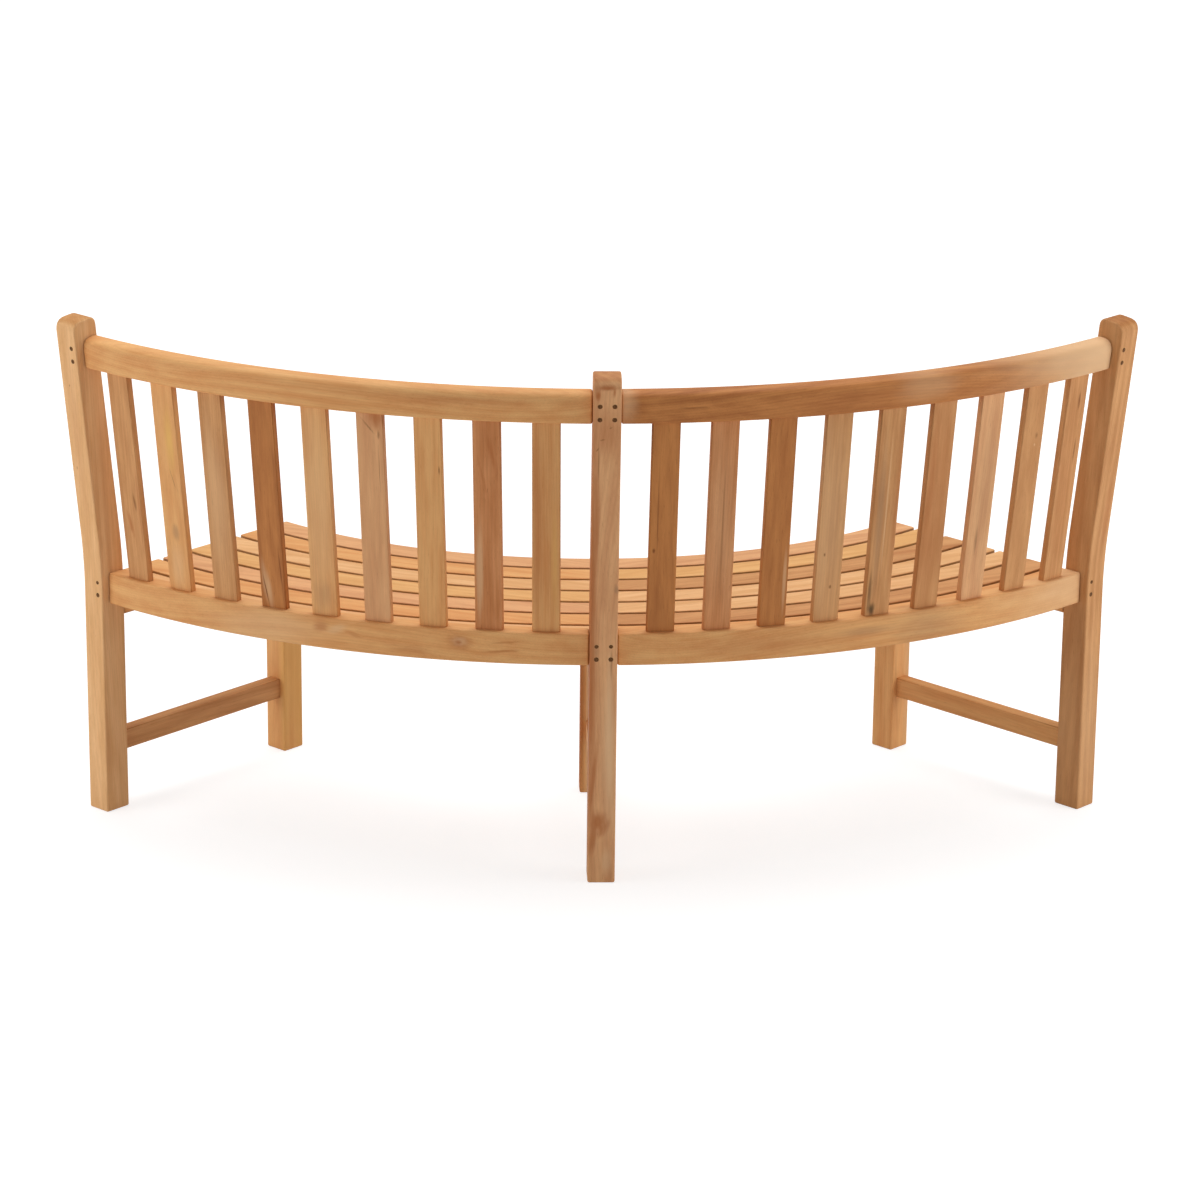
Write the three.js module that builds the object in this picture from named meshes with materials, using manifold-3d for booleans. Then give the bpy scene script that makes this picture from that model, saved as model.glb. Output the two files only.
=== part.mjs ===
// Curved garden bench in teak. Three leg frames stand like spokes on an arc, and two equal bays of
// curved rails, back slats and seat slats join them.
// Lengths are in millimetres and Z is up. The sitter faces -Y, and the arc bulges towards +Y.
// A leg frame and a bay are drawn about the arc's centre: X runs along the arc, Y outwards, Z up.

import * as THREE from 'three';
import { mergeVertices } from 'three/addons/utils/BufferGeometryUtils.js';
import Module from 'manifold-3d';

const wasm = await Module();
wasm.setup();

// Plan of the arc. A leg frame runs inwards from the radius of the posts' back faces.
const bayAngle = THREE.MathUtils.degToRad(44.3);
const backRadius = 1240;
const frameDepth = 474;
const baySteps = 16;

// Clearance, the wood left between two mortises, and the length by which a cutter passes its face
const fit = 0.3;
const mortiseWall = 3;
const overrun = 5;

// A rounded corner is a curve of one step for each of these lengths, up to a most
const cornerStep = 2.5;
const mostCornerSteps = 7;

// Back posts: upright to the bend, then raked outwards
const postWidth = 46;
const postDepth = 51;
const postHeight = 893;
const postArris = 3;
const postTopBackRound = 20;
const postTopFrontRound = 16;
const bendHeight = 453;
const bendReach = 55;
const rake = THREE.MathUtils.degToRad(6.57);

// Front legs
const legWidth = 46;
const legDepth = 46;
const legArris = 3;

// Seat slats, in curved rows counted from the front: equal rows, and a narrower one at the rear.
// They share out the depth between the front setback and the gap to the posts.
const seatHeight = 426;
const seatSlatThickness = 20;
const seatSlatGap = 9;
const seatSetback = 14.5;
const seatRearGap = 3;
const equalRows = 6;
const rearRowWidth = 35;
const seatEndGap = 1.2;
const seatSlatArris = 2;
const seatSlatCornerRound = 4;

// Rails: set in from the back faces of the posts
const railInset = 15;
const railThickness = 36;
const railArris = 3.5;
const railTenonThickness = 12;
const railTenonShoulder = 8;
const railTenonWall = 10;

// Top rail, with a rounded crest
const topRailHeight = 51.5;
const topRailDrop = 32;
const crestBackRound = 20;
const crestFrontRound = 12;

// Lower back rail, whose top stands above the seat
const lowerRailHeight = 55.5;
const lowerRailRise = 10;

// Back slats, counted outwards from the centre post. Each stands further out than an even spacing would
// put it, by a multiple of the spread.
const slatsPerBay = 9;
const slatSpread = 0.75;
const slatWidth = 46.5;
const slatThickness = 13;
const slatInset = 22.3;
const slatArris = 2;
const slatTenonWidth = 34;
const slatTenonThickness = 7;
const slatTenonLength = 16;

// Seat bearers, from leg to post
const bearerHeight = 52;
const endBearerWidth = 28;
const bearerArris = 1.5;
const bearerTenonThickness = 9;
const bearerTenonShoulder = 6;

// Front aprons, between the legs
const apronHeight = 52;
const apronThickness = 20;
const apronInset = 16;
const apronArris = 2;
const apronTenonThickness = 9;
const apronTenonShoulder = 8;
const apronTenonWall = 16;

// Battens under the middle of each bay
const battenWidth = 44;
const battenThickness = 22;
const battenGap = 0.9;
const battenTenonWidth = 30;
const battenTenonThickness = 9;
const battenTenonLength = 9;

// Stretchers, low between leg and post
const stretcherWidth = 25;
const stretcherHeight = 36;
const stretcherFloorGap = 101;
const stretcherArris = 2;
const stretcherTenonThickness = 9;
const stretcherTenonLength = 30;
const stretcherTenonShoulder = 6;

// Dowel pins through the rail tenons
const pinRadius = 4;
const pinSides = 12;
const pinSpacing = 23;
const pinOffset = 12;
const pinWall = 7;

// Sizes that follow from those above
const postFrontRadius = backRadius - postDepth;
const legFrontRadius = backRadius - frameDepth;
const legBackRadius = legFrontRadius + legDepth;
const seatUnderside = seatHeight - seatSlatThickness;
const supportTop = seatUnderside - fit;
const stepAngle = bayAngle / baySteps;
const railBackRadius = backRadius - railInset;
const railFrontRadius = railBackRadius - railThickness;
const lowerRailTop = seatHeight + lowerRailRise;
const lowerRailBottom = lowerRailTop - lowerRailHeight;
const postTopLift = (postDepth - postTopFrontRound) * Math.sin(rake);
const postTop = (postHeight - bendHeight - postTopLift) / Math.cos(rake);
const topRailTop = postTop - topRailDrop;
const topRailBottom = topRailTop - topRailHeight;
const railTenonLength = (postWidth - railTenonWall) / 2;
const pinLength = postDepth - pinWall;
const apronFrontRadius = legFrontRadius + apronInset;
const apronBackRadius = apronFrontRadius + apronThickness;
const apronTenonLength = (legWidth - apronTenonWall) / 2;
const apronTenonMargin = (apronThickness - apronTenonThickness) / 2;
const bearerTenonLength = legBackRadius - apronBackRadius + apronTenonMargin - 2 * fit - mortiseWall;
const bearerTenonTop = lowerRailBottom + railTenonShoulder - 2 * fit - mortiseWall;
const seatFrontRadius = legFrontRadius + seatSetback;
const seatDepth = postFrontRadius - seatRearGap - seatFrontRadius;
const rowPitch = (seatDepth - rearRowWidth) / equalRows;
const rows = Array.from({ length: equalRows + 1 }, (_, row) => {
  const inner = seatFrontRadius + row * rowPitch;
  return { inner, outer: inner + (row < equalRows ? rowPitch - seatSlatGap : rearRowWidth) };
});
const slatAngles = Array.from({ length: slatsPerBay }, (_, slat) => {
  return bayAngle * ((slat + 1) / (slatsPerBay + 1) - 1 / 2) + ((slat + 1) * slatSpread) / backRadius;
});

// Radius and height of a point above the bend: its depth in from the posts' back face, and its
// distance along that face from the bend.
function raked(depth, along) {
  return [
    backRadius + along * Math.sin(rake) - depth * Math.cos(rake),
    bendHeight + along * Math.cos(rake) + depth * Math.sin(rake),
  ];
}

// Distance along the raked face at which a given depth reaches a given height.
function alongAt(depth, height) {
  return (height - bendHeight - depth * Math.sin(rake)) / Math.cos(rake);
}

// Closed outline through corners of [x, y, round]. Each corner is rounded from that length before
// it to that length after it, but never past the middle of a side.
function outline(corners) {
  const points = corners.map(([x, y]) => new THREE.Vector2(x, y));
  const count = points.length;
  const path = corners.flatMap((values, index) => {
    const corner = points[index];
    const round = values[2] ?? 0;
    if (round === 0) return [corner];
    const [start, end] = [count - 1, 1].map((step) => {
      const next = points[(index + step) % count];
      const reach = Math.min(round / corner.distanceTo(next), 1 / 2);
      return corner.clone().lerp(next, reach);
    });
    const steps = Math.min(Math.ceil(round / cornerStep), mostCornerSteps);
    return new THREE.QuadraticBezierCurve(start, corner, end).getPoints(steps);
  });
  return new THREE.Shape(path);
}

// Outline of a section grown outwards by the same length on all four sides.
function rectangle(left, right, bottom, top, grow = 0) {
  return [
    [left - grow, bottom - grow],
    [right + grow, bottom - grow],
    [right + grow, top + grow],
    [left - grow, top + grow],
  ];
}

// Flat board of a given outline and thickness, centred on its outline. All its arrises are cut by flats
// that touch a rounding of the arris's radius.
function board(corners, thickness, arris = 0) {
  const flat = arris * (2 - Math.SQRT2);
  const depth = thickness - 2 * flat;
  const geometry = new THREE.ExtrudeGeometry(outline(corners), {
    depth,
    bevelEnabled: arris > 0,
    bevelThickness: flat,
    bevelSize: flat,
    bevelOffset: -flat,
    bevelSegments: 1,
  });
  return geometry.translate(0, 0, -depth / 2);
}

// Board whose outline is drawn in radius and height, and whose thickness runs along the arc.
function radialBoard(corners, thickness, arris) {
  const turn = new THREE.Matrix4().makeBasis(
    new THREE.Vector3(0, 1, 0),
    new THREE.Vector3(0, 0, 1),
    new THREE.Vector3(1, 0, 0),
  );
  return board(corners, thickness, arris).applyMatrix4(turn);
}

// Level arc about the centre, between two angles that are measured from +Y towards +X.
class LevelArc extends THREE.Curve {
  constructor(radius, from, to) {
    super();
    this.radius = radius;
    this.from = from;
    this.to = to;
  }

  getPoint(share, target = new THREE.Vector3()) {
    const angle = THREE.MathUtils.lerp(this.from, this.to, share);
    return target.set(Math.sin(angle), Math.cos(angle), 0).multiplyScalar(this.radius);
  }

  getTangent(share, target = new THREE.Vector3()) {
    const angle = THREE.MathUtils.lerp(this.from, this.to, share);
    return target.set(Math.cos(angle), -Math.sin(angle), 0);
  }
}

// Curved bar: an outline in radius and height, swept along the arc between two of its steps.
function curvedBar(corners, firstStep, lastStep) {
  const section = corners.map(([radius, height, round]) => [-height, radius - backRadius, round]);
  return new THREE.ExtrudeGeometry(outline(section), {
    steps: lastStep - firstStep,
    extrudePath: new LevelArc(backRadius, firstStep * stepAngle, lastStep * stepAngle),
  });
}

// Straight box between two corners, given as [x, y, z], grown on all sides.
function block(low, high, grow = 0) {
  const box = new THREE.Box3(new THREE.Vector3(...low), new THREE.Vector3(...high)).expandByScalar(grow);
  const centre = box.getCenter(new THREE.Vector3());
  return new THREE.BoxGeometry(...box.getSize(new THREE.Vector3())).translate(...centre);
}

// Round rod between two points.
function rod(start, end, radius, sides) {
  const axis = end.clone().sub(start);
  const upright = new THREE.Vector3(0, 1, 0);
  const turn = new THREE.Quaternion().setFromUnitVectors(upright, axis.clone().normalize());
  const middle = start.clone().add(end).divideScalar(2);
  return new THREE.CylinderGeometry(radius, radius, axis.length(), sides)
    .applyQuaternion(turn)
    .translate(middle.x, middle.y, middle.z);
}

// Copy of a geometry turned about the arc's centre by an angle from +Y towards +X.
function turned(geometry, angle) {
  return geometry.clone().rotateZ(-angle);
}

function toSolid(geometry) {
  const bare = geometry.clone();
  bare.deleteAttribute('normal');
  bare.deleteAttribute('uv');
  const merged = mergeVertices(bare);
  return new wasm.Manifold(new wasm.Mesh({
    numProp: 3,
    vertProperties: merged.attributes.position.array,
    triVerts: new Uint32Array(merged.index.array),
  }));
}

function toGeometry(solid) {
  const mesh = solid.getMesh();
  const geometry = new THREE.BufferGeometry();
  geometry.setAttribute('position', new THREE.BufferAttribute(mesh.vertProperties, 3));
  geometry.setIndex(new THREE.BufferAttribute(mesh.triVerts, 1));
  const faceted = geometry.toNonIndexed();
  faceted.computeVertexNormals();
  return faceted;
}

// Geometry of the joined pieces less all the cutters.
function carve(pieces, cutters = []) {
  const body = pieces.map(toSolid).reduce((sum, solid) => sum.add(solid));
  return toGeometry(cutters.map(toSolid).reduce((rest, solid) => rest.subtract(solid), body));
}

// Slab over a leg frame's centre plane, up to a given distance on either side of it.
function frameSlab(angle, halfWidth) {
  const reach = backRadius + postHeight;
  return turned(block([-halfWidth, 0, -overrun], [halfWidth, reach, postHeight + overrun]), angle);
}

// Slabs over both leg frames of a bay, as far as a curved piece must stay clear of them.
function baySlabs(halfWidth) {
  return [-bayAngle / 2, bayAngle / 2].map((angle) => frameSlab(angle, halfWidth));
}

// Tenons of a curved piece: a thinner bar that runs through it and out at both ends.
function curvedTenons(corners, halfWidth, length) {
  return carve([curvedBar(corners, -baySteps / 2, baySteps / 2)], baySlabs(halfWidth - length));
}

// Mortises for such tenons in a leg frame, on the sides (-1, 1) where a bay joins it.
function curvedMortises(corners, halfWidth, length, sides) {
  return sides.map((side) => {
    const bar = curvedBar(corners, Math.min(side, 0), Math.max(side, 0));
    return carve([bar], [frameSlab(0, halfWidth - length - fit)]);
  });
}

// Curved piece between two leg frames, cut back to their sides, with its tenons.
function curvedPiece(corners, tenonCorners, halfWidth, tenonLength, cutters) {
  const bar = carve([curvedBar(corners, -baySteps / 2, baySteps / 2)], baySlabs(halfWidth + fit));
  return carve([bar, curvedTenons(tenonCorners, halfWidth, tenonLength)], cutters);
}

// Sections of the curved pieces, in radius and height

const lowerRailSection = [
  [railFrontRadius, lowerRailBottom, railArris],
  [railBackRadius, lowerRailBottom, railArris],
  [railBackRadius, lowerRailTop, railArris],
  [railFrontRadius, lowerRailTop, railArris],
];

const topRailFront = railInset + railThickness;
const topRailSection = [
  [...raked(topRailFront, topRailBottom), railArris],
  [...raked(railInset, topRailBottom), railArris],
  [...raked(railInset, topRailTop), crestBackRound],
  [...raked(topRailFront, topRailTop), crestFrontRound],
];

const apronSection = [
  [apronFrontRadius, supportTop - apronHeight, apronArris],
  [apronBackRadius, supportTop - apronHeight, apronArris],
  [apronBackRadius, supportTop, apronArris],
  [apronFrontRadius, supportTop, apronArris],
];

function lowerRailTenon(grow = 0) {
  const margin = (railThickness - railTenonThickness) / 2;
  return rectangle(
    railFrontRadius + margin,
    railBackRadius - margin,
    lowerRailBottom + railTenonShoulder,
    lowerRailTop - railTenonShoulder,
    grow,
  );
}

function topRailTenon(grow = 0) {
  const margin = (railThickness - railTenonThickness) / 2;
  return rectangle(
    railInset + margin,
    topRailFront - margin,
    topRailBottom + railTenonShoulder,
    topRailTop - railTenonShoulder,
    grow,
  ).map(([depth, along]) => raked(depth, along));
}

function apronTenon(grow = 0) {
  return rectangle(
    apronFrontRadius + apronTenonMargin,
    apronBackRadius - apronTenonMargin,
    supportTop - apronHeight + apronTenonShoulder,
    supportTop - apronTenonShoulder,
    grow,
  );
}

// Dowel pins, glued in and flush with the back face of the post, from which they run in. As cutters
// they grow by the clearance and pass that face.

const lowerRailMiddle = lowerRailTop - lowerRailHeight / 2;
const topRailMiddle = topRailTop - topRailHeight / 2;

function pinPlaces(sides) {
  return sides.flatMap((side) => [-1 / 2, 1 / 2].map((row) => [side * pinOffset, row * pinSpacing]));
}

function lowerRailPins(sides, grow = 0, head = 0) {
  return pinPlaces(sides).map(([x, rise]) => {
    const height = lowerRailMiddle + rise;
    const start = new THREE.Vector3(x, backRadius - pinLength - grow, height);
    const end = new THREE.Vector3(x, backRadius + head, height);
    return rod(start, end, pinRadius + grow, pinSides);
  });
}

function topRailPins(sides, grow = 0, head = 0) {
  return pinPlaces(sides).map(([x, rise]) => {
    const start = new THREE.Vector3(x, ...raked(pinLength + grow, topRailMiddle + rise));
    const end = new THREE.Vector3(x, ...raked(-head, topRailMiddle + rise));
    return rod(start, end, pinRadius + grow, pinSides);
  });
}

// Straight tenons of the bearer and the stretcher: one thin bar from mortise to mortise

function bearerTenons(middle, grow = 0) {
  const half = bearerTenonThickness / 2;
  return block(
    [middle - half, legBackRadius - bearerTenonLength, supportTop - bearerHeight + bearerTenonShoulder],
    [middle + half, postFrontRadius + bearerTenonLength, bearerTenonTop],
    grow,
  );
}

function stretcherTenons(grow = 0) {
  const half = stretcherTenonThickness / 2;
  const bottom = stretcherFloorGap + stretcherTenonShoulder;
  return block(
    [-half, legBackRadius - stretcherTenonLength, bottom],
    [half, postFrontRadius + stretcherTenonLength, bottom + stretcherHeight - 2 * stretcherTenonShoulder],
    grow,
  );
}

// Leg frames. joined holds the sides on which bays join. The rail pins of a post between two bays
// are pieces of their own, and the others are one with the posts that they are glued into.
const halfPost = postWidth / 2;
const halfLeg = legWidth / 2;

function bearerSpan(joined) {
  return joined.length > 1
    ? { width: legWidth, middle: 0 }
    : { width: endBearerWidth, middle: joined[0] * (legWidth - endBearerWidth) / 2 };
}

function backPost(joined) {
  const slant = (postDepth * (1 - Math.cos(rake))) / Math.sin(rake);
  const side = radialBoard([
    [postFrontRadius, 0],
    [backRadius, 0],
    [backRadius, bendHeight, bendReach],
    [...raked(0, postTop), postTopBackRound],
    [...raked(postDepth, postTop), postTopFrontRound],
    [postFrontRadius, bendHeight + slant, bendReach],
  ], postWidth, postArris);
  const between = joined.length > 1;
  const mortised = carve([side], [
    ...curvedMortises(lowerRailTenon(fit), halfPost, railTenonLength, joined),
    ...curvedMortises(topRailTenon(fit), halfPost, railTenonLength, joined),
    bearerTenons(bearerSpan(joined).middle, fit),
    stretcherTenons(fit),
  ]);
  const railPins = (grow, head) => [...lowerRailPins(joined, grow, head), ...topRailPins(joined, grow, head)];
  return between ? carve([mortised], railPins(fit, overrun)) : carve([mortised, ...railPins(0, -fit)]);
}

function frontLeg(joined) {
  const side = radialBoard(rectangle(legFrontRadius, legBackRadius, 0, supportTop), legWidth, legArris);
  return carve([side], [
    ...curvedMortises(apronTenon(fit), halfLeg, apronTenonLength, joined),
    bearerTenons(bearerSpan(joined).middle, fit),
    stretcherTenons(fit),
  ]);
}

function seatBearer(joined) {
  const { width, middle } = bearerSpan(joined);
  const corners = rectangle(legBackRadius + fit, postFrontRadius - fit, supportTop - bearerHeight, supportTop);
  const side = radialBoard(corners, width, bearerArris).translate(middle, 0, 0);
  return carve([side, bearerTenons(middle)]);
}

function stretcher() {
  const top = stretcherFloorGap + stretcherHeight;
  const corners = rectangle(legBackRadius + fit, postFrontRadius - fit, stretcherFloorGap, top);
  const side = radialBoard(corners, stretcherWidth, stretcherArris);
  return carve([side, stretcherTenons()]);
}

// Back slat, drawn on the centre plane. Its foot is cut level, and its head square to the rake.

function slatOutline(depthFrom, depthTo, foot, head) {
  return [
    raked(depthTo, alongAt(depthTo, foot)),
    raked(depthFrom, alongAt(depthFrom, foot)),
    raked(depthFrom, head),
    raked(depthTo, head),
  ];
}

function slatTenons(grow = 0) {
  const margin = (slatThickness - slatTenonThickness) / 2;
  const corners = slatOutline(
    slatInset + margin - grow,
    slatInset + slatThickness - margin + grow,
    lowerRailTop - slatTenonLength - grow,
    topRailBottom + slatTenonLength + grow,
  );
  return radialBoard(corners, slatTenonWidth + 2 * grow);
}

function backSlat() {
  const corners = slatOutline(slatInset, slatInset + slatThickness, lowerRailTop + fit, topRailBottom - fit);
  return carve([radialBoard(corners, slatWidth, slatArris), slatTenons()]);
}

// Pieces of a bay, drawn with its middle on the centre plane. The slats stand outwards from the centre
// post, along X (1) or against it (-1).

function battenTenons(grow = 0) {
  const half = battenTenonWidth / 2;
  const bottom = supportTop - (battenThickness + battenTenonThickness) / 2;
  return block(
    [-half, apronBackRadius - battenTenonLength, bottom],
    [half, railFrontRadius + battenTenonLength, bottom + battenTenonThickness],
    grow,
  );
}

function batten() {
  const corners = rectangle(
    apronBackRadius + fit,
    railFrontRadius - battenGap,
    supportTop - battenThickness,
    supportTop,
  );
  return carve([radialBoard(corners, battenWidth, bearerArris), battenTenons()]);
}

// Pieces that a function draws for a leg frame's centre plane, at both ends of a bay
function atBayEnds(draw) {
  return [-1, 1].flatMap((end) => draw([-end]).map((piece) => turned(piece, end * bayAngle / 2)));
}

function slatMortises(outwards) {
  return slatAngles.map((angle) => turned(slatTenons(fit), outwards * angle));
}

function lowerRail(outwards) {
  return curvedPiece(lowerRailSection, lowerRailTenon(), halfPost, railTenonLength, [
    ...slatMortises(outwards),
    ...atBayEnds((sides) => lowerRailPins(sides, fit)),
    battenTenons(fit),
  ]);
}

function topRail(outwards) {
  return curvedPiece(topRailSection, topRailTenon(), halfPost, railTenonLength, [
    ...slatMortises(outwards),
    ...atBayEnds((sides) => topRailPins(sides, fit)),
  ]);
}

function frontApron() {
  return curvedPiece(apronSection, apronTenon(), halfLeg, apronTenonLength, [battenTenons(fit)]);
}

// Row of the seat: a ring sector, its ends parallel to the leg frames' planes
function seatSlat({ inner, outer }) {
  function edge(radius, direction) {
    const end = bayAngle / 2 - Math.asin(seatEndGap / radius);
    return Array.from({ length: baySteps + 1 }, (_, step) => {
      const angle = direction * end * (1 - (2 * step) / baySteps);
      const round = step === 0 || step === baySteps ? seatSlatCornerRound : 0;
      return [radius * Math.sin(angle), radius * Math.cos(angle), round];
    });
  }
  const corners = [...edge(inner, -1), ...edge(outer, 1)];
  const middle = seatUnderside + seatSlatThickness / 2;
  return carve([board(corners, seatSlatThickness, seatSlatArris).translate(0, 0, middle)]);
}

// Materials: teak boards of slightly different tones, and dark pin ends
const finish = { roughness: 0.6, metalness: 0 };

function piece(name, geometry, color) {
  const mesh = new THREE.Mesh(geometry, new THREE.MeshStandardMaterial({ color, ...finish }));
  mesh.name = name;
  return mesh;
}

const postColor = 0xd0a06c;
const railColor = 0xc2915a;
const slatColors = [0xc49a68, 0xcb9c60, 0xc39468, 0xb37a4e];
const seatColors = [0xe2ae78, 0xdda56e, 0xe8b680];
const pinColor = 0x6a4526;

const bench = new THREE.Group();

const leftAngle = bayAngle;
const rightAngle = -bayAngle;
const legFrames = [
  { side: 'left', angle: leftAngle, joined: [-1] },
  { side: 'centre', angle: 0, joined: [-1, 1] },
  { side: 'right', angle: rightAngle, joined: [1] },
];

for (const { side, angle, joined } of legFrames) {
  const frame = new THREE.Group();
  frame.rotation.z = -angle;
  frame.add(
    piece(`back_post_${side}`, backPost(joined), postColor),
    piece(`front_leg_${side}`, frontLeg(joined), postColor),
    piece(`seat_bearer_${side}`, seatBearer(joined), railColor),
    piece(`stretcher_${side}`, stretcher(), railColor),
  );
  bench.add(frame);
}

const seatRows = rows.map(seatSlat);
const slat = backSlat();

const bays = [
  { side: 'left', angle: leftAngle / 2, outwards: 1 },
  { side: 'right', angle: rightAngle / 2, outwards: -1 },
];

for (const { side, angle, outwards } of bays) {
  const bay = new THREE.Group();
  bay.rotation.z = -angle;
  const bayPieces = {
    top_rail: topRail(outwards),
    lower_rail: lowerRail(outwards),
    front_apron: frontApron(),
    seat_batten: batten(),
  };
  for (const [name, geometry] of Object.entries(bayPieces)) {
    bay.add(piece(`${name}_${side}`, geometry, railColor));
  }
  seatRows.forEach((geometry, row) => {
    bay.add(piece(`seat_slat_${side}_${row + 1}`, geometry, seatColors[row % seatColors.length]));
  });
  slatAngles.forEach((place, index) => {
    const mesh = piece(`back_slat_${side}_${index + 1}`, slat, slatColors[index % slatColors.length]);
    mesh.rotation.z = -outwards * place;
    bay.add(mesh);
  });
  bench.add(bay);
}

const postPins = { top_rail_pin: topRailPins, lower_rail_pin: lowerRailPins };
for (const [name, draw] of Object.entries(postPins)) {
  draw([-1, 1]).forEach((geometry, index) => bench.add(piece(`${name}_${index + 1}`, geometry, pinColor)));
}

// The bench's own origin lies on the floor under the middle of its outer box
bench.updateMatrixWorld(true);
const boxCentre = new THREE.Box3().setFromObject(bench, true).getCenter(new THREE.Vector3());
bench.position.set(-boxCentre.x, -boxCentre.y, 0);

export default bench;
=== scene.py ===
"""Garden bench on an arc, in teak: three leg frames, and two bays of curved rails, back slats and seat rows.

Each board is drawn again over its CAD solid with finer curves, eased arrises and wood grain of its own.
A leg frame and a bay are drawn about the arc's centre, as in the CAD: X runs along the arc, Y outwards
and Z up. Lengths are in metres.
"""

import logging
import math
import random
from collections.abc import Iterator, Sequence
from dataclasses import dataclass
from enum import Enum

import bmesh
import bpy
from mathutils import Matrix, Vector


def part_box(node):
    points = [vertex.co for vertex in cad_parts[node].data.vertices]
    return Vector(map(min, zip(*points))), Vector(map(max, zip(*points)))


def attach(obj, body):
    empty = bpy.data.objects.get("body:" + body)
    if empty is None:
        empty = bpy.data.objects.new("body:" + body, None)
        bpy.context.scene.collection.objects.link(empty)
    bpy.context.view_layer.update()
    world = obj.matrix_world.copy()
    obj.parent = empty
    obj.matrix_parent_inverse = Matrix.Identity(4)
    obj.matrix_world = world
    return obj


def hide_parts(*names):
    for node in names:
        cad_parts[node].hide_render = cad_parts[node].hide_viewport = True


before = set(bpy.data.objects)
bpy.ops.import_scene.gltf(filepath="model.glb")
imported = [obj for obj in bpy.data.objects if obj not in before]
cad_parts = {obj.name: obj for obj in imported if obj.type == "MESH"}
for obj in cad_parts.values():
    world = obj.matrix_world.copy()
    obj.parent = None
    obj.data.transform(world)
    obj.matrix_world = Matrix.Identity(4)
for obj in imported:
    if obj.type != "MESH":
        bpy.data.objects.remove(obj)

logging.basicConfig(level=logging.INFO, format="%(message)s")
log = logging.getLogger("bench")

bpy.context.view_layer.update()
BODY = "root"

Corner = tuple[float, float, float]
Pair = tuple[float, float]
Point = tuple[float, float, float]

# Directions in the axes of a leg frame or bay
ALONG_ARC = Vector((1, 0, 0))
OUT = Vector((0, 1, 0))
UP = Vector((0, 0, 1))


def linear(code: str) -> tuple[float, float, float, float]:
    """Turns an sRGB hex colour into linear RGBA.

    Args:
        code: The colour, such as "#D9A26A".

    Returns:
        Its linear red, green and blue, and full alpha.
    """
    shares = [int(code[start:start + 2], 16) / 255 for start in (1, 3, 5)]
    red, green, blue = (s / 12.92 if s <= 0.04045 else ((s + 0.055) / 1.055) ** 2.4 for s in shares)
    return red, green, blue, 1.0


# Settings that many nodes share: a smooth range, a blend of two colours and a tint over a colour
SMOOTH = {"interpolation_type": "SMOOTHSTEP"}
BLEND = {"data_type": "RGBA"}
TINT = {"data_type": "RGBA", "blend_type": "MULTIPLY"}


def add_node(
    tree: bpy.types.NodeTree,
    kind: str,
    inputs: dict[str | int, object] | None = None,
    wanted: str | None = None,
    **settings: object,
) -> bpy.types.NodeSocket | None:
    """Adds a node with its settings and links.

    Args:
        tree: The node tree that gets it.
        kind: Its type name, without "ShaderNode".
        inputs: What each input gets: a value, or the output that is linked to it.
        wanted: Name of the output that is wanted, if it isn't the first one in use.
        settings: Its attributes.

    Returns:
        The wanted output of the new node, or None if it has no outputs.
    """
    node = tree.nodes.new(f"ShaderNode{kind}")
    for name, value in settings.items():
        setattr(node, name, value)
    for key, value in (inputs or {}).items():
        if isinstance(value, bpy.types.NodeSocket):
            tree.links.new(value, node.inputs[key])
        else:
            node.inputs[key].default_value = value
    if wanted:
        return node.outputs[wanted]
    return next((output for output in node.outputs if output.enabled), None)


def empty_tree(holder: bpy.types.Material | bpy.types.World) -> bpy.types.NodeTree:
    """Gives a new material or world a node tree with nothing in it.

    Args:
        holder: The material or world.

    Returns:
        Its node tree.
    """
    holder.use_nodes = True
    holder.node_tree.nodes.clear()
    return holder.node_tree


def add_object(name: str, data: bpy.types.ID) -> bpy.types.Object:
    """Adds an object to the scene.

    Args:
        name: Its name.
        data: Its mesh, lamp or camera.

    Returns:
        The object.
    """
    made = bpy.data.objects.new(name, data)
    bpy.context.scene.collection.objects.link(made)
    return made


# Finishes

# Bare wood shines faintly, and its relief is a fraction of a millimetre deep
WOOD_IOR = 1.5
WOOD_SPECULAR = 0.2
WOOD_RELIEF = 0.0004

# Nearly all of a noise lies between these values
NOISE_SPAN = {"From Min": 0.3, "From Max": 0.7}


def finish_wood(
    tree: bpy.types.NodeTree,
    colour: bpy.types.NodeSocket,
    noise: bpy.types.NodeSocket,
    roughness: Pair,
    height: bpy.types.NodeSocket,
    strength: float,
) -> None:
    """Ends the node tree of a bare wood with its shader.

    Args:
        tree: The node tree.
        colour: The wood's colour.
        noise: The noise that its roughness follows.
        roughness: Its roughness where that noise is low and high.
        height: How high its surface stands.
        strength: How much of that height shows.
    """
    low, high = roughness
    matt = add_node(tree, "MapRange", {"Value": noise, **NOISE_SPAN, "To Min": low, "To Max": high})
    bump = add_node(tree, "Bump", {"Height": height, "Strength": strength, "Distance": WOOD_RELIEF})
    inputs = {
        "Base Color": colour,
        "Roughness": matt,
        "IOR": WOOD_IOR,
        "Normal": bump,
        "Specular IOR Level": WOOD_SPECULAR,
    }
    add_node(tree, "OutputMaterial", {"Surface": add_node(tree, "BsdfPrincipled", inputs)})


class TeakTone(Enum):
    """Colours of a sanded teak board: its light wood, its dark wood and its late-wood lines."""

    PALE = ("#EEBD88", "#DCA66E", "#BC8250")
    HONEY = ("#E8B174", "#D9985D", "#B3703A")
    GOLDEN = ("#EAB87A", "#DAA264", "#B6804A")
    ROSY = ("#E7B17E", "#D29769", "#A86A44")
    TAWNY = ("#D8A06A", "#BE8452", "#915C34")
    CHESTNUT = ("#D79461", "#BD7846", "#8C502B")
    RUSSET = ("#CB874C", "#AC6A38", "#7C4824")


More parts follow.
